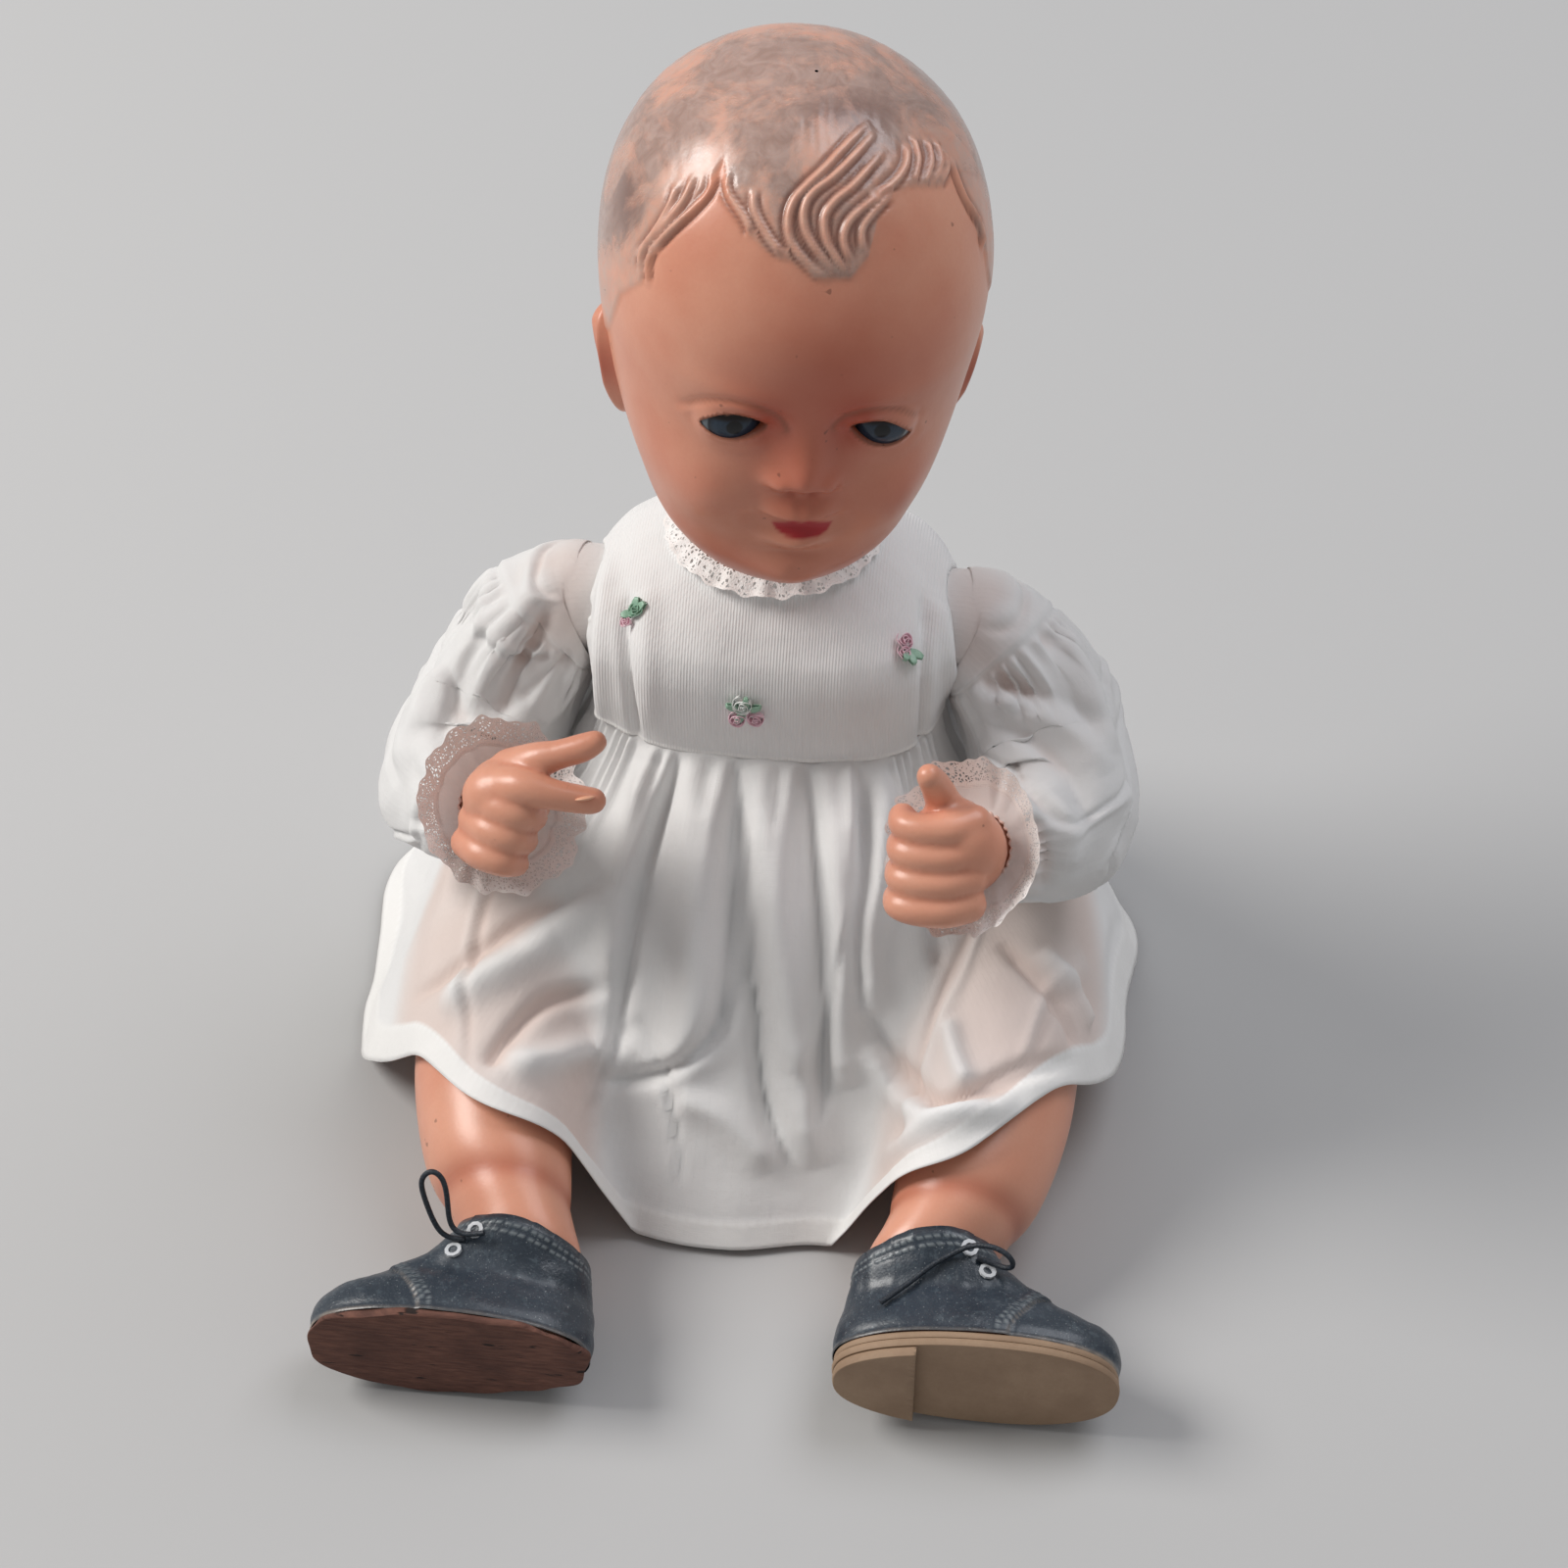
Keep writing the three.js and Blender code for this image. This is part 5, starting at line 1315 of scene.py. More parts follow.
def makeBodice():
    low, high = dress["bodice"][0][0], dress["bodice"][-1][0]

    def place(u, v):
        angle = 2 * math.pi * u
        return bodicePoint(angle, mix(low, high, v)) * mm

    bm = gridShape(dress["bodiceAround"], dress["bodiceUp"], place, sizes=dress["bodiceWeave"])
    band, stitch, _ = paintLayers(bm, "band", "stitch", "near").values()
    centre = Vector((0, 0, arms["height"] * mm))
    hole = dress["armhole"] * mm
    for vert in bm.verts:
        if abs(vert.co.x) > dress["side"] * mm:
            off = Vector((0, vert.co.y, vert.co.z)) - centre
            if abs(off.length - hole) < 0.5 * mm:
                vert.co += off.normalized() * (hole - off.length)
    gone = [f for f in bm.faces if abs(f.calc_center_median().x) > dress["side"] * mm
            and (f.calc_center_median() - centre).yz.length < hole - 0.05 * mm]
    bmesh.ops.delete(bm, geom=gone, context="FACES")
    faceOut(bm, centre)
    lines = foldLines(BVHTree.FromBMesh(bm), bodiceFolds)

    def extra(vert):
        p = vert.co / mm
        ring = math.hypot(p.y, p.z - arms["height"]) - dress["armhole"]
        seam = 0.5 * bell(ring - 1.2, 1.0) if abs(p.x) > dress["side"] else 0.0
        pull = 0.35 * noise.noise(Vector((p.x * 0.12, p.y * 0.12, p.z * 0.035)))
        back = 0.5 * bell(p.x - 0.4, 0.5) if p.y > 0 else 0.0  # the two edges of the opening at the back
        return (seam + pull - back + 0.4 * bell(p.z - low - 0.8, 0.7)) * mm

    fineFolds(bm, lines, extra)
    for vert in bm.verts:
        z = vert.co.z / mm
        vert[band] = smooth(low + 2, low + 1.5, z) + smooth(high - 4.5, high - 4, z)
        vert[stitch] = 0.8 * bell(z - high + 4.2, 0.5)
    piece = finish(bm, "dress_bodice_cloth", "torso", dimity, outward=False)
    thicken(piece, dress["bodiceThick"])
    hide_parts("dress_bodice")
    return piece


def sleeveRows(label):
    first, _, bend, upper, elbow, fore, narrow, wrist, hand = arms["routes"][label]
    hole, bag, end = dress["armhole"], sleeves["bag"], arms["wrist"]

    def near(row, x, y, z, radius):
        return [row[0] + x, row[1] + y, row[2] + z, radius]

    return [
        [61, first[1], first[2] - 0.5, 19.5],
        [64, first[1], first[2] - 1.5, 20.5],
        near(bend, 4, -1, -1, 21),
        near(upper, 4, -2, -3, bag - 2.5),
        near(elbow, 3, -2, -3, bag),
        near(fore, 3, -2, -1, bag - 1),
        near(narrow, 2, -1, 0, end * 2),
        near(wrist, 0, 0, 0, end + 5),
        near(hand, 0, 0, 0, end + sleeves["end"]),
    ]


sleeveLines = {label: sleeveRows(label) for label in sides}


def underSleeve(x, y):
    lowest = 1e9
    for sx, sy, sz, radius in sleeveSpots["right" if x < 0 else "left"]:
        away = math.hypot(abs(x) - sx, y - sy)
        reach = radius + skirt["sleeveEase"]
        if away < reach:
            lowest = min(lowest, sz - math.sqrt(reach ** 2 - away ** 2))
    return lowest


sleeveSpots = {label: [catmull(rows, k / 32) for k in range(33)] for label, rows in sleeveLines.items()}
legLines = {label: [[-y, x, z, a, b] for x, y, z, a, b in legRowsTo(label)[1:]] for label in sides}


# height of the cloth over one leg; it falls to the floor beside it
def overLeg(x, y):
    rows = legLines["right" if x < 0 else "left"]
    _, middle, height, _, half = rowAt(rows, max(rows[0][0], min(rows[-1][0], -y)))
    away = abs(abs(x) - middle)
    radius = half + skirt["ease"]
    bend = radius * 0.9
    return height + math.sqrt(radius ** 2 - min(away, bend) ** 2) - 2.1 * max(0, away - bend)


# the cloth falls from the waist to the hem, over the legs and under the sleeves
def skirtPoint(angle, t):
    _, halfWidth, front, behind, power = dress["bodice"][0]
    s, c = math.sin(angle), math.cos(angle)
    thick = dress["thick"]
    waistX = (halfWidth - thick / 2) * boxed(s, power)
    waistY = (behind - front) / 2 - (behind + front + thick) / 2 * boxed(c, power)
    hemX = skirt["shift"] + skirt["width"] * boxed(s, 0.88)
    hemY = skirt["centre"] - (skirt["front"] if c > 0 else skirt["back"]) * boxed(c, 0.82)
    further = skirt["over"]["right" if hemX < 0 else "left"]
    further *= bell(abs(hemX) - skirt["overAt"], skirt["overHalf"])
    hemY -= further * max(0, c)
    spread = t ** (0.92 + 0.55 * s * s)
    wave = 0.5 + 0.5 * math.cos(11 * angle + 0.9 * math.sin(3 * angle))
    puff = 4 * math.sin(math.pi * min(1, t * 1.6)) + 4.5 * t * wave
    puff *= min(1, t * 5) * (1 - s * s * max(0, 1 - 4 * t))
    x = mix(waistX, hemX, spread) + s * puff
    y = mix(waistY, hemY, spread) - c * puff
    top = dress["waist"] - 0.3
    drape = top - (top - skirt["lift"]) * t ** 1.02
    legTop = mix(overLeg(x, y), skirt["lift"], smooth(*skirt["backHem"], y)) + 2 * t * wave
    near = math.exp(-abs(drape - legTop) / 10) * min(1, 4 * t * (1 - t))
    cloth = max(max(drape, legTop) + 5 * near, skirt["lift"])
    return Vector((x, y, min(cloth, underSleeve(x, y)) + thick / 2))


def makeSkirt():
    bm = gridShape(skirt["around"], skirt["down"], lambda u, v: skirtPoint(2 * math.pi * u, 1 - v) * mm,
                   sizes=(dress["skirtWeave"], skirt["length"] * mm))
    band, stitch, near = paintLayers(bm, "band", "stitch", "near").values()
    faceOut(bm, Vector((0, -0.035, 0.03)))
    lines = foldLines(BVHTree.FromBMesh(bm), skirtFolds)
    places = flatPlaces(bm).items()
    down = {vert: 1 - p.y / (skirt["length"] * mm) for vert, p in places}
    around = {vert: p.x / dress["skirtWeave"] for vert, p in places}

    def extra(vert):
        t = down[vert]
        angle = 2 * math.pi * around[vert]
        uneven = angle + 0.05 * math.sin(7 * angle) + 0.03 * math.sin(17 * angle)
        gather = math.cos(skirt["gathers"] * uneven) * smooth(0.42, 0.0, t) * smooth(0.0, 0.03, t)
        p = vert.co / mm
        wide = noise.noise(Vector((p.x * 0.025, p.y * 0.025, p.z * 0.012)))
        small = noise.noise(Vector((p.x * 0.07 + 9, p.y * 0.07, p.z * 0.05)))
        slack = noise.noise(Vector((p.x * 0.03 + 2, p.y * 0.012, p.z * 0.012)))
        crease = 1.8 * bell(slack - 0.12, 0.06) - 2.4 * bell(slack, 0.055)
        small += crease * smooth(0.1, 0.5, t) * smooth(1, 0.8, t)
        hem = (1 - t) * skirt["length"]
        return (skirt["gatherDepth"] * gather + 1.3 * wide * smooth(0, 0.3, t) + 0.6 * small
                + 0.35 * smooth(skirt["hemBand"] + 0.3, skirt["hemBand"] - 0.3, hem)) * mm

    fineFolds(bm, lines, extra)
    for vert in bm.verts:
        hem = (1 - down[vert]) * skirt["length"]
        vert[band] = smooth(skirt["hemBand"] + 0.4, skirt["hemBand"] - 0.4, hem)
        vert[stitch] = bell(hem - skirt["hemBand"] + 1.2, 0.5)
        vert.co.z = max(vert.co.z, 1.2 * mm)
    paintNear(bm, near, ("leg_right", "leg_left"), 12)
    piece = finish(bm, "dress_skirt_cloth", "torso", batiste, outward=False)
    thicken(piece, dress["skirtThick"])
    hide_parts("dress_skirt")
    return piece


# rings of a path whose first ones stand square to the shoulder
def levelRings(rows, count):
    rings = []
    for k, (middle, radius, along, first, second) in enumerate(ringPath(rows, count)):
        share = k / (count - 1)
        if share < 0.286:
            along = along.lerp(Vector((1, 0, 0)), 1 - 3.5 * share).normalized()
            first = (first - along * first.dot(along)).normalized()
            second = along.cross(first)
        rings.append((middle, radius, along, first, second))
    return rings


# how far out the bodice reaches at this depth and height
def bodiceSide(y, z):
    _, w, f, b, power = rowAt(dress["bodice"], z)
    depth = (b + f) / 2 + dress["thick"]
    c = min(1, abs(y - (b - f) / 2) / depth) ** (1 / power)
    return (w + dress["thick"]) * math.sqrt(1 - c * c) ** power + 0.1


def makeSleeve(label):
    side = sides[label]
    rows = [[sleeves["seam"], 0, arms["height"], dress["armhole"] - 0.2]] + sleeveLines[label]
    rows = [[x, y, z, radius + more] for (x, y, z, radius), more in zip(rows, sleeves["fuller"])]
    rings = levelRings(rows, sleeves["along"] + 1)

    def place(u, v):
        middle, radius, along, first, second = rings[round(v * sleeves["along"])]
        angle = 2 * math.pi * u
        seam = sleeves["seamAt"]
        ends = smooth(seam + 0.2, seam + 0.03, v) * smooth(seam, seam + 0.02, v) * 0.9
        ends += smooth(0.8, 0.97, v) * 1.1
        ends *= smooth(1.0, 0.985, v)
        uneven = angle + 0.08 * math.sin(5 * angle)
        reach = radius + ends * math.cos(sleeves["gathers"] * uneven)
        reach += 1.6 * math.sin(math.pi * v) ** 2 * math.cos(5 * angle + 6 * v)
        reach += 0.5 * bell(v - seam + 0.008, 0.006) - 0.5 * bell(v - seam - 0.004, 0.006)
        spot = middle + first * reach * math.cos(angle) + second * reach * math.sin(angle)
        shift = (bodiceSide(spot.y, spot.z) - sleeves["seam"]) * smooth(0.14, 0.0, v)
        spot.x += shift - 1.6 * smooth(0.03, 0.0, v)
        return Vector((side * spot.x, spot.y, spot.z)) * mm

    bm = gridShape(sleeves["around"], sleeves["along"], place, sizes=dress["sleeveWeave"])
    middle = Vector(rings[len(rings) // 2][0]) * mm
    near = paintLayers(bm, "band", "stitch", "near")["near"]
    faceOut(bm, Vector((side * middle.x, middle.y, middle.z)))
    lines = foldLines(BVHTree.FromBMesh(bm), sleeveFolds[label])

    def extra(vert):
        p = vert.co / mm
        wide = noise.noise(Vector((p.x * 0.05, p.y * 0.05, p.z * 0.05 + 3)))
        small = noise.noise(Vector((p.x * 0.14, p.y * 0.14 + 5, p.z * 0.1)))
        slack = noise.noise(Vector((p.x * 0.045 + 7, p.y * 0.02, p.z * 0.06)))
        crease = 1.1 * bell(slack - 0.14, 0.08) - 1.3 * bell(slack, 0.07)
        return (1.7 * wide + 0.5 * small + crease) * mm * smooth(64, 76, abs(p.x))

    fineFolds(bm, lines, extra)
    paintNear(bm, near, ("arm_" + label,), 8, 0.8)
    for vert in bm.verts:
        vert[near] *= smooth(48, 74, abs(vert.co.x) / mm)
    piece = finish(bm, "sleeve_" + label + "_cloth", None, voile, outward=False)
    thicken(piece, dress["sleeveThick"])
    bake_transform(piece)
    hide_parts("sleeve_" + label)
    return piece


# flat size of each piece of cloth and lace, in metres, read off the modelled pieces
cut = {
    "bodice": (0.34, 0.08),
    "skirt": (0.7, 0.165),
    "sleeve": (0.17, 0.16),
    "frill": (0.1, 0.01),
    "edging": (0.156, 0.01),
    "neckLace": (0.177, 0.011),
}
bodiceCloth = makeBodice()
skirtCloth = makeSkirt()
sleeveCloth = {label: makeSleeve(label) for label in sides}
print("dress made")


# lace: a fine net with a row of rings and a scalloped edge, drawn from the strip's own millimetres
lace = {
    "mesh": 0.95,  # cells to a millimetre
    "period": 5.2,  # from scallop to scallop
    "ringAt": 2.5, "ring": 1.35,  # in from the edge, radius
    "sewn": 2.2,  # width of the close part at the seam
    "columns": 300, "rows": 22,
}


def laceMaterial():
    material, tree, shader, place = newMaterial("cotton_lace_machine_made", Roughness=0.8, Sheen_Weight=0.2)
    uv = addNode(tree, "ShaderNodeUVMap", {"uv_map": "UVMap"}).outputs[0]
    parts = addNode(tree, "ShaderNodeSeparateXYZ", None, {0: uv})
    along = sums(tree, "MULTIPLY", parts.outputs[0], 1000.0)
    across = sums(tree, "MULTIPLY", parts.outputs[1], 1000.0)
    millimetres = addNode(tree, "ShaderNodeCombineXYZ", None, {0: along, 1: across}).outputs[0]
    mesh = {"Vector": millimetres, "Scale": lace["mesh"]}
    net = addNode(tree, "ShaderNodeTexVoronoi", {"feature": "DISTANCE_TO_EDGE"}, mesh)
    threads = ramp(tree, net.outputs["Distance"], [(0.0, 1.0), (0.17, 1.0), (0.24, 0.0)])
    cell = sums(tree, "SUBTRACT", sums(tree, "FRACT", sums(tree, "DIVIDE", along, lace["period"])), 0.5)
    dx = sums(tree, "MULTIPLY", cell, lace["period"])
    fromEdge = painted(tree, "fromEdge")
    dy = sums(tree, "SUBTRACT", fromEdge, lace["ringAt"])
    far = sums(tree, "SQRT", sums(tree, "ADD", sums(tree, "POWER", dx, 2.0), sums(tree, "POWER", dy, 2.0)))
    ring = sums(tree, "ABSOLUTE", sums(tree, "SUBTRACT", far, lace["ring"]))
    rings = ramp(tree, ring, [(0.0, 1.0), (0.42, 1.0), (0.55, 0.0)])
    edge = ramp(tree, fromEdge, [(0.0, 1.0), (0.62, 1.0), (0.75, 0.0)])
    sewn = sums(tree, "GREATER_THAN", painted(tree, "sewn"), 0.5)
    solid = sums(tree, "MAXIMUM", sums(tree, "MAXIMUM", threads, rings), sums(tree, "MAXIMUM", edge, sewn))
    colour = blendColour(tree, noiseAt(tree, place, 90, 3), srgb("#ffffff"), srgb("#f6f3ef"))
    height = sums(tree, "ADD", solid, noiseAt(tree, millimetres, 2.2, 3))
    connect(tree, shader, Alpha=solid, Base_Color=colour, Normal=bump(tree, height, 0.0004, 0.8))
    return material


laceNet = laceMaterial()
elasticThread = plainMaterial("elastic_thread_covered", "#ecd0c6", Roughness=0.7)


# place(u, v) gives metres; v = 1 is the free edge, which the scallops lengthen
def frillShape(place, width, scallops):
    bm = gridShape(lace["columns"], lace["rows"], place, sizes=(scallops * lace["period"] * mm, width * mm))
    fromEdge, sewn = paintLayers(bm, "fromEdge", "sewn").values()
    for vert, p in flatPlaces(bm).items():
        v = p.y / (width * mm)
        vert[fromEdge] = (1 - v) * width
        vert[sewn] = smooth(lace["sewn"] + 0.3, lace["sewn"] - 0.3, v * width)
    return bm


cuffs = {
    "gap": 0.5, "length": 10, "flare": 15, "frills": 13, "ruffle": 1.5, "scallops": 30,
    "cloth": 0.45,  # share of the frill that is cloth; the rest is lace
    "overWrist": 0.8,
    "elastic": 0.45, "elasticSteps": 160,
}


def makeCuff(label):
    side = sides[label]
    route = [Vector(row[:3]) for row in arms["routes"][label]]
    end = route[-1]
    along = (end - route[-2]).normalized()
    first = Vector((0, 1, 0))
    first = (first - along * first.dot(along)).normalized()
    second = along.cross(first)
    base = arms["wrist"] + cuffs["overWrist"]
    seed = 3.1 * side

    def around(angle, radius, lift):
        p = end + along * lift + first * radius * math.cos(angle) + second * radius * math.sin(angle)
        return Vector((side * p.x, p.y, p.z)) * mm

    def spot(u, t):
        angle = 2 * math.pi * u
        uneven = angle + 0.11 * math.sin(3 * angle + seed) + 0.05 * math.sin(8 * angle)
        wavy = cuffs["ruffle"] * t * math.cos(cuffs["frills"] * uneven)
        radius = base + cuffs["flare"] * t ** 0.8 * (1 + 0.06 * math.sin(2 * angle + seed)) + 0.6 * wavy
        lift = cuffs["gap"] + cuffs["length"] * t ** 1.3 + wavy + 1.2 * t * math.sin(5 * angle + seed)
        return around(angle, radius, lift)

    def edged(u, v):
        t = mix(clothPart - 0.06, 1, v)
        reach = 0.5 + 0.5 * math.cos(2 * math.pi * cuffs["scallops"] * u)
        return spot(u, t + 0.05 * v * reach)

    def threadSpot(angle):
        radius = base + 0.3 * math.cos(sleeves["gathers"] * angle)
        return around(angle, radius, 0.2 + 0.4 * math.sin(31 * angle))

    span = math.hypot(cuffs["length"], cuffs["flare"])
    clothPart = cuffs["cloth"]
    sizes = (cut["frill"][0], span * clothPart * mm)
    bm = gridShape(lace["columns"], 16, lambda u, v: spot(u, clothPart * v), sizes=sizes)
    paintLayers(bm, "band", "stitch", "near")
    frill = finish(bm, "cuff_frill_" + label, "arm_" + label, voile, outward=False)
    bm = frillShape(edged, span * (1 - clothPart), cuffs["scallops"])
    edging = finish(bm, "cuff_lace_edging_" + label, "arm_" + label, laceNet, outward=False)
    count = cuffs["elasticSteps"]
    points = [threadSpot(2 * math.pi * k / count) for k in range(count)]
    elastic = cordCurve("wrist_elastic_" + label, points, cuffs["elastic"], 3, elasticThread, closed=True)
    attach(elastic, "arm_" + label)
    for piece in (frill, edging, elastic):
        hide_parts("cuff_lace_" + label)
    return frill, edging


neckLace = {"inner": 24.5, "width": 9.5, "top": 177.6, "scallops": 34, "ruffle": 0.7}


def makeNeckLace():
    def place(u, v):
        angle = 2 * math.pi * u
        reach = 0.5 + 0.5 * math.cos(2 * math.pi * neckLace["scallops"] * u)
        radius = neckLace["inner"] + neckLace["width"] * v + 0.8 * v * reach
        z = neckLace["top"] + 1.6 * math.sin(math.pi * min(1, v * 1.2)) - 3.2 * v ** 2
        z += neckLace["ruffle"] * v * math.cos(17 * angle + math.sin(3 * angle))
        return Vector((radius * math.sin(angle), -radius * math.cos(angle), z)) * mm

    bm = frillShape(place, neckLace["width"], neckLace["scallops"])
    faceOut(bm, Vector((0, 0, 0.1)))
    piece = finish(bm, "neck_lace_edging", "torso", laceNet, outward=False)
    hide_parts("neck_lace")
    return piece


# ribbon rosettes: rolled satin ribbon, pale pink and white, on loops of green ribbon
def ribbonMaterial(name, light, deep):
    material, tree, shader, place = newMaterial(name, Roughness=0.35, Sheen_Weight=0.4)
    threads = noiseAt(tree, place, 2400, 2)
    colour = blendColour(tree, threads, srgb(light), srgb(deep))
    connect(tree, shader, Base_Color=colour, Normal=bump(tree, threads, 0.0001, 0.5))
    return material


pinkRibbon = ribbonMaterial("satin_ribbon_pink", "#f4d6df", "#e7b3c4")
whiteRibbon = ribbonMaterial("satin_ribbon_white", "#f6f8f6", "#dfe6e1")
greenRibbon = ribbonMaterial("satin_ribbon_green", "#a3c8b0", "#6d9c82")
# place across and up the bodice, then each bud's shift, size and ribbon, and each leaf's angle and length
rosettes = {
    "front": {
        "x": -4, "z": 142, "lift": 0.7,
        "buds": [(-3.6, -2.6, 2.6, pinkRibbon), (2.2, -3.6, 2.5, pinkRibbon), (0.6, 2.6, 2.9, whiteRibbon)],
        "leaves": [(25, 6.4), (150, 6.0), (-60, 5.2), (95, 6.2)],
    },
    "left": {
        "x": 44, "z": 156, "lift": 0.4,
        "buds": [(-0.6, 2.6, 2.4, pinkRibbon), (1.6, -0.4, 2.0, pinkRibbon)],
        "leaves": [(-80, 5.4), (-120, 5.6), (-40, 4.2)],
    },
    "right": {
        "x": -40, "z": 160, "lift": 0.4,
        "buds": [(0.2, -3.4, 1.8, pinkRibbon), (-0.4, 1.4, 2.4, greenRibbon)],
        "leaves": [(70, 5.2), (110, 5.4), (-50, 4.0)],
    },
}


def onBodice(x, z, facing):
    def place(px, pz):
        _, w, f, b, power = rowAt(dress["bodice"], pz)
        s = min(1, abs(px) / (w + dress["thick"])) ** (1 / power)
        deep = (b + f) / 2 + dress["thick"]
        return Vector((px, (b - f) / 2 + facing * deep * math.sqrt(1 - s * s) ** power, pz))

    along = place(x + 0.5, z) - place(x - 0.5, z)
    up = place(x, z + 0.5) - place(x, z - 0.5)
    return place(x, z), (along.cross(up) * -facing).normalized()


# a rolled ribbon that stands on its edge
def spiral(bm, centre, across, up, out, size, height, turns):
    def place(u, v):
        angle = 2 * math.pi * turns * u
        radius = size * (0.12 + 0.88 * u) + 0.12 * size * math.sin(2.6 * angle)
        lean = radius * (1 - 0.2 * v * (1 - u)) + 0.25 * v * size * u
        rise = height * v * (1 - 0.35 * u * u) + 0.1 * size * math.sin(3 * angle + 2)
        return centre + across * lean * math.cos(angle) + up * lean * math.sin(angle) + out * rise

    addShape(bm, gridShape(60, 5, place, join=None))


def makeRosette(label):
    rosette = rosettes[label]
    surface, out = onBodice(rosette["x"], rosette["z"], -1)
    up = Vector((0, 0, 1))
    up = (up - out * up.dot(out)).normalized()
    across = up.cross(out).normalized() * -1
    base = surface + out * rosette["lift"]
    for k, (dx, dz, size, ribbon) in enumerate(rosette["buds"]):
        bm = bmesh.new()
        spiral(bm, base + across * dx + up * dz + out * 0.6, across, up, out, size, size * 0.9, 3.2)
        inMetres(bm)
        piece = finish(bm, "rosette_%s_bud_ribbon_%d" % (label, k), "torso", ribbon, outward=False)
        thicken(piece, 0.22, 0)
        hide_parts("rosette_" + label + "_bud")
    bm = bmesh.new()
    for degrees, length in rosette["leaves"]:
        angle = math.radians(degrees)
        way = across * math.cos(angle) + up * math.sin(angle)
        wide = out.cross(way)

        def place(u, v):
            t = 1 - abs(2 * u - 1)
            rise = 1.5 * math.sin(math.pi * u) + (1.1 if u > 0.5 else 0)
            half = 0.35 + 0.65 * math.sin(math.pi * t)
            return base + way * length * t + out * rise + wide * (v - 0.5) * 2.6 * half

        addShape(bm, gridShape(24, 6, place, join=None))
    inMetres(bm)
    piece = finish(bm, "rosette_" + label + "_leaf_ribbon", "torso", greenRibbon, outward=False)
    thicken(piece, 0.2, 0)
    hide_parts("rosette_" + label + "_leaf")


cuffPieces = {label: makeCuff(label) for label in sides}
neckPiece = makeNeckLace()
for label in rosettes:
    makeRosette(label)
print("lace and ribbons made")


# navy leather, dyed and waxed, worn grey at the edges and scuffed; thick pale stitching thread
def leatherMaterial():
    gloss = {"Coat_Weight": 0.35, "Coat_Roughness": 0.25}
    material, tree, shader, place = newMaterial("calf_leather_waxed_worn", **gloss)
    cloud = noiseAt(tree, place, 60, 5, 0.6, 0.4)
    base = blendColour(tree, cloud, srgb("#1b242e"), srgb("#2c3946"))
    dust = ramp(tree, noiseAt(tree, place, 420, 4, 0.65), [(0.0, 0.0), (0.54, 0.0), (0.7, 0.35)])
    base = blendColour(tree, dust, base, srgb("#5d6a72"))
    specks = ramp(tree, noiseAt(tree, place, 1500, 2), [(0.0, 0.0), (0.66, 0.0), (0.72, 0.7)])
    base = blendColour(tree, specks, base, srgb("#8b9193"))
    base = blendColour(tree, painted(tree, "worn"), base, srgb("#8a7f74"))
    base = blendColour(tree, painted(tree, "stitchLine"), base, srgb("#6d7478"))
    base = blendColour(tree, painted(tree, "inside"), base, srgb("#9c8468"))
    rough = ramp(tree, cloud, [(0.3, 0.32), (0.7, 0.55)])
    grain = addNode(tree, "ShaderNodeTexVoronoi", None, {"Vector": place, "Scale": 1100}).outputs["Distance"]
    normal = bump(tree, grain, 0.00012, 0.5)
    creases = noiseAt(tree, place, 190, 5, 0.6, 1.2)
    normal = bump(tree, creases, 0.0006, 0.45, normal)
    connect(tree, shader, Base_Color=base, Roughness=rough, Normal=normal)
    return material


shoeLook = {
    "around": 260, "up": 110,
    "inside": 9,  # how far the leather goes down inside
    "edge": 1.2,  # over this much of it the top edge is round
    "vamp": 0.60,  # where the seam of the toe part meets the sole, along the shoe
    "vampTop": 0.83,  # and near the throat
    "collar": 34,
    "collarDip": 4.5,  # the top edge is lower at the heel
    "flap": 0.7,  # thickness of the leather that overlaps
    "vampStitches": (-1.6, -3.6), "collarStitches": (2.2, 4.2),  # two rows each
    "net": 0.2,
}


# the top edge slopes down from the eyelets to the heel
def shoeTop(angle):
    c = math.cos(angle)
    return shoeLook["collar"] - shoeLook["collarDip"] * smooth(0.3, -1, c) + 1.2 * bell(c - 0.9, 0.2)


# mm in front of the seam between the toe part and the quarters; below 0 is behind it
def vampSide(label, p, height):
    x = abs(p.x) - shoes["heel"] - shoes["out"][label]
    share = height / shoeLook["collar"]
    seam = shoes["length"] * mix(shoeLook["vamp"], shoeLook["vampTop"], smooth(0, 1, share))
    return x - seam


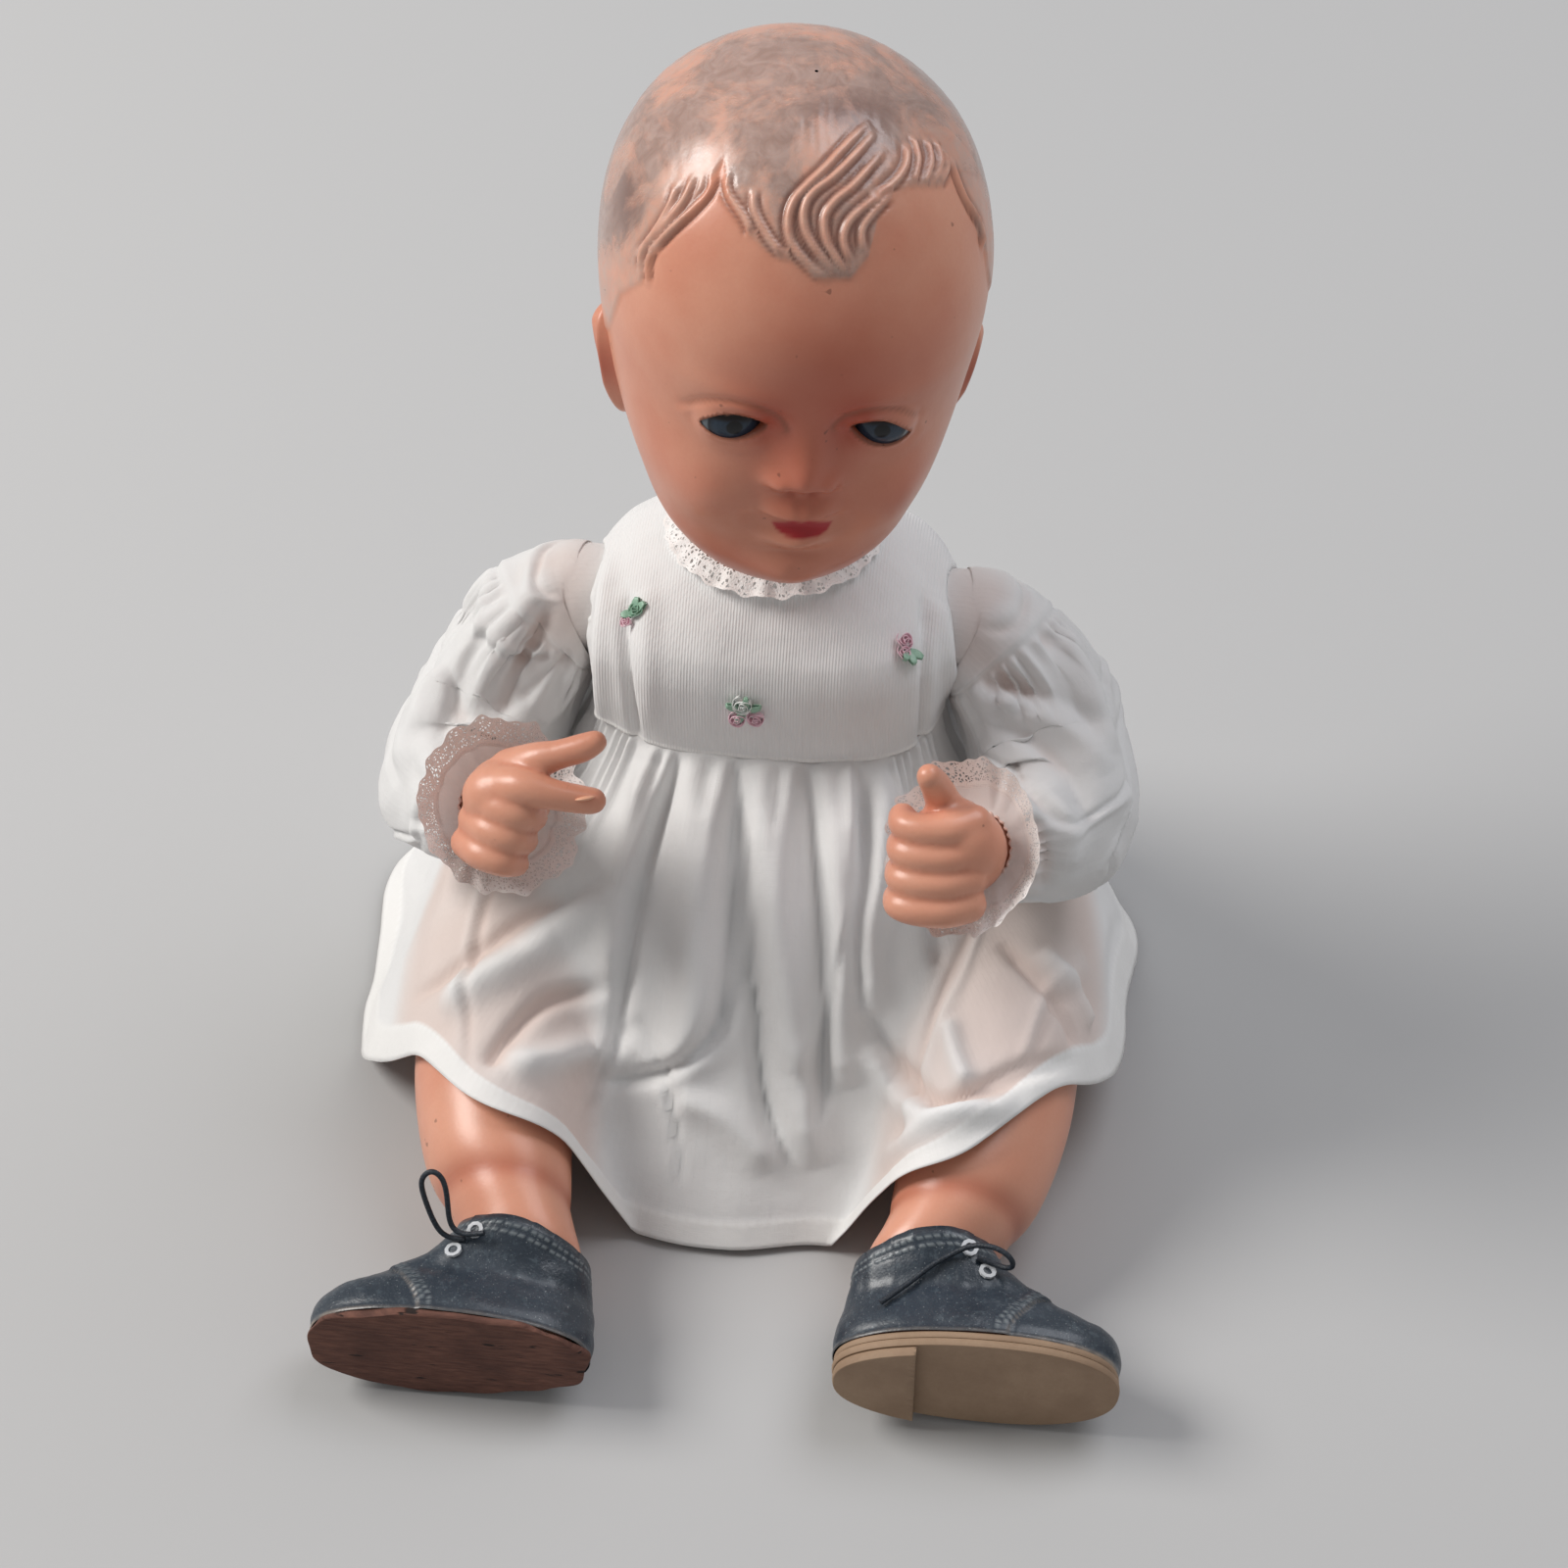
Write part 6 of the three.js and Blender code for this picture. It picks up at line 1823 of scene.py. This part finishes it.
def makeShoe(label):
    side = sides[label]
    total = shoeLook["collar"] + shoeLook["inside"]
    edge = shoeLook["edge"]

    def place(u, v):
        angle = 2 * math.pi * u
        top = shoeTop(angle)
        way = v * (top + shoeLook["inside"])
        height = way if way <= top else 2 * top - way
        inward = 0.0 if way <= top else shoes["wall"]
        near = abs(way - top)
        if near < edge:
            inward = shoes["wall"] / 2 * (1 + (way - top) / edge)
            height = top - 0.9 * (1 - math.sqrt(max(0.0, 1 - (1 - near / edge) ** 2)))
        p = shoeSpot(label, shoeStation(max(0, height)), -inward, angle)
        return Vector((side * p.x, p.y, p.z))

    sizes = (shoeLook["net"], total * mm)
    bm = gridShape(shoeLook["around"], shoeLook["up"], place, join=0.01, sizes=sizes)
    layers = paintLayers(bm, "worn", "stitchLine", "inside")
    centre = Vector((side * (shoes["heel"] + 42 + shoes["out"][label]), -shoes["seam"][label] + 15, 21))
    faceOut(bm, centre)
    bm.normal_update()
    places = flatPlaces(bm)
    moves = []
    for vert in bm.verts:
        u, v = places[vert].x / shoeLook["net"], places[vert].y / (total * mm)
        top = shoeTop(2 * math.pi * u)
        way = v * (top + shoeLook["inside"])
        outer = way <= top
        height = min(way, top)
        ahead = vampSide(label, vert.co, height)
        out = 0.0
        stitch = 0.0
        if outer:
            out += shoeLook["flap"] * smooth(0.5, -0.3, ahead) * smooth(0, 1.5, top - height + 1.5)
            for line in shoeLook["vampStitches"]:
                hem = 1 if math.sin(height * 3.2) > -0.5 else 0
                stitch = max(stitch, bell(ahead - line, 0.35) * hem)
            for line in shoeLook["collarStitches"]:
                hem = 1 if math.sin(u * 2 * math.pi * 60) > -0.5 else 0
                stitch = max(stitch, bell(top - height - line, 0.35) * hem * smooth(1, -2, ahead))
            out += 0.25 * stitch - 0.35 * bell(ahead - 0.9, 0.5)
            out += 0.5 * bell(height - 0.6, 0.9)  # drawn over the edge of the board
            p = vert.co
            out += 0.5 * noise.noise(Vector((p.x * 0.09, p.y * 0.16, p.z * 0.09 + side)))
            out += 0.35 * noise.noise(Vector((p.x * 0.3, p.y * 0.12, p.z * 0.12))) * smooth(3, 12, height)
        moves.append((vert, out))
        toe = smooth(0.72, 1.0, (abs(vert.co.x) - shoes["heel"]) / shoes["length"])
        rubbed = bell(height - 0.3, 0.9) * (0.55 + 0.45 * noise.noise(vert.co * 0.35))
        seamWear = 0.5 * bell(ahead - 0.3, 0.35) if outer else 0
        worn = max(rubbed * (0.5 + toe), 0.5 * bell(top - height, 0.7), seamWear)
        vert[layers["worn"]] = min(1.0, worn)
        vert[layers["stitchLine"]] = min(1.0, stitch * 1.3)
        vert[layers["inside"]] = smooth(top + 0.8, top + 1.6, way)
    for vert, out in moves:
        vert.co += vert.normal * out
    inMetres(bm)
    piece = finish(bm, "shoe_" + label + "_leather", "leg_" + label, leather, outward=False)
    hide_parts("shoe_" + label + "_upper")


# the right shoe has lost its outer sole and shows bare reddish fibre board; the left sole is tan leather
def soleMaterials():
    board, tree, shader, place = newMaterial("fibre_board_pressed_bare", Roughness=0.85)
    grain = addNode(tree, "ShaderNodeMapping", None, {"Vector": place, "Scale": (120, 200, 900)}).outputs[0]
    lines = noiseAt(tree, grain, 1, 5, 0.65)
    blotch = noiseAt(tree, place, 55, 4)
    base = blendColour(tree, ramp(tree, lines, [(0.35, 0.0), (0.65, 1.0)]), srgb("#5a3a31"), srgb("#7c5446"))
    base = blendColour(tree, ramp(tree, blotch, [(0.4, 0.0), (0.7, 0.6)]), base, srgb("#4a2f29"))
    cracks = ramp(tree, noiseAt(tree, grain, 0.6, 3, 0.5), [(0.0, 1.0), (0.3, 1.0), (0.34, 0.0)])
    base = blendColour(tree, cracks, base, srgb("#241713"))
    normal = bump(tree, sums(tree, "SUBTRACT", lines, cracks), 0.0009, 0.6)
    connect(tree, shader, Base_Color=base, Normal=normal)
    sole, tree, shader, place = newMaterial("sole_leather_rolled", Roughness=0.7)
    fine = noiseAt(tree, place, 800, 4, 0.7)
    base = blendColour(tree, fine, srgb("#957a62"), srgb("#a58c74"))
    stains = ramp(tree, noiseAt(tree, place, 60, 4), [(0.4, 0.0), (0.75, 0.6)])
    base = blendColour(tree, stains, base, srgb("#7f654f"))
    connect(tree, shader, Base_Color=base, Normal=bump(tree, fine, 0.0002, 0.5))
    return board, sole


# a slab under the shoe with a rounded, slightly ragged edge; keep leaves only its part behind that length
slab = {"around": 240, "rows": 44, "net": (0.2, 0.05)}


def makeSlab(label, name, start, thick, grow, material, keep=None, ragged=0.0):
    side = sides[label]
    bottom = shoes["stations"][0][1:]
    middle = shoeSpot(label, [0] + bottom, 0, 0).lerp(shoeSpot(label, [0] + bottom, 0, math.pi), 0.5)

    def place(u, v):
        angle = 2 * math.pi * u
        rim = smooth(0.0, 0.36, v) if v < 0.5 else smooth(1.0, 0.64, v)
        rough = ragged * noise.noise(Vector((3 * math.cos(angle), 3 * math.sin(angle), v * 2))) * 2
        depth = -start - thick * smooth(0.34, 0.66, v)
        edge = 0.35 * (1 - math.sin(math.pi * smooth(0.34, 0.66, v)))
        p = shoeSpot(label, [depth] + bottom, grow - edge + rough, angle)
        p = Vector((middle.x, p.y, middle.z)).lerp(p, rim)
        if v > 0.64:
            p.y += 0.25 * ragged * noise.noise(Vector((p.x * 0.2, 0, p.z * 0.6)))
        return Vector((side * p.x, p.y, p.z)) * mm

    bm = gridShape(slab["around"], slab["rows"], place, sizes=slab["net"])
    if keep is not None:
        cutX = side * (shoes["heel"] + shoes["out"][label] + keep) * mm
        whole = bm.verts[:] + bm.edges[:] + bm.faces[:]
        plane = {"plane_co": (cutX, 0, 0), "plane_no": (side, 0, 0), "clear_outer": True}
        edge = bmesh.ops.bisect_plane(bm, geom=whole, **plane)["geom_cut"]
        bmesh.ops.contextual_create(bm, geom=[g for g in edge if isinstance(g, bmesh.types.BMEdge)])
    piece = finish(bm, "shoe_%s_%s_slab" % (label, name), "leg_" + label, material)
    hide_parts("shoe_%s_%s" % (label, name))


leather = leatherMaterial()
fibreBoard, soleLeather = soleMaterials()
for label in sides:
    makeShoe(label)
makeSlab("right", "board", 0.2, 2.2, 0.9, fibreBoard, ragged=1.0)
makeSlab("left", "board", 0.2, 2.2, 0.9, soleLeather)
makeSlab("left", "sole", 2.8, 2.6, 1.2, soleLeather)
makeSlab("left", "heel", 5.7, 3.2, 0.8, soleLeather, keep=24)

# small metal and shell parts that only need their real finish
finishes = {
    "eyelet_": plainMaterial("steel_painted_white", "#c9ccd0", Roughness=0.35),
    "neck_hook": plainMaterial("steel_bright", "#9a9c9f", Metallic=1.0, Roughness=0.35),
    "back_button": plainMaterial("shell_button_turned", "#e8e4dc", Roughness=0.25),
}
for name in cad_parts:
    for start, material in finishes.items():
        if name.startswith(start) and name in bpy.data.objects:
            slots = bpy.data.objects[name].data.materials
            slots.clear()
            slots.append(material)
print("shoes made")


# pale paper under the doll, soft daylight from the left and a weak fill from behind on the right
stage = {"floor": "#bcbcbc", "reach": 6.0, "sky": "#eeeeee", "skyStrength": 0.36}
lamps = {
    "window": {
        "place": (-2.0, 0.1, 1.9), "aim": (0, -0.05, 0.12),
        "size": 1.3, "power": 58, "colour": "#fffcf8",
    },
    "fill": {
        "place": (0.9, 0.7, 2.1), "aim": (0, -0.05, 0.14),
        "size": 1.5, "power": 20, "colour": "#f6f8ff",
    },
}


def makeStage():
    material = plainMaterial("paper_backdrop_matt", stage["floor"], Roughness=0.9, Specular_IOR_Level=0.1)
    bm = bmesh.new()
    bmesh.ops.create_grid(bm, x_segments=2, y_segments=2, size=stage["reach"] / 2)
    mesh = bpy.data.meshes.new("floor")
    bm.to_mesh(mesh)
    bm.free()
    obj = bpy.data.objects.new("floor", mesh)
    mesh.materials.append(material)
    bpy.context.scene.collection.objects.link(obj)


def addLamp(name, place, aim, size, power, colour):
    data = bpy.data.lights.new(name, "AREA")
    data.shape = "DISK"
    data.size = size
    data.energy = power
    data.color = srgb(colour)[:3]
    obj = bpy.data.objects.new(name, data)
    obj.location = place
    obj.rotation_euler = (Vector(aim) - Vector(place)).to_track_quat("-Z", "Y").to_euler()
    bpy.context.scene.collection.objects.link(obj)


makeStage()
for name, lamp in lamps.items():
    addLamp(name, **lamp)
world = bpy.data.worlds.new("studio")
bpy.context.scene.world = world
world.use_nodes = True
sky = world.node_tree.nodes["Background"]
sky.inputs["Color"].default_value = srgb(stage["sky"])
sky.inputs["Strength"].default_value = stage["skyStrength"]
bpy.context.scene.view_settings.view_transform = "Standard"
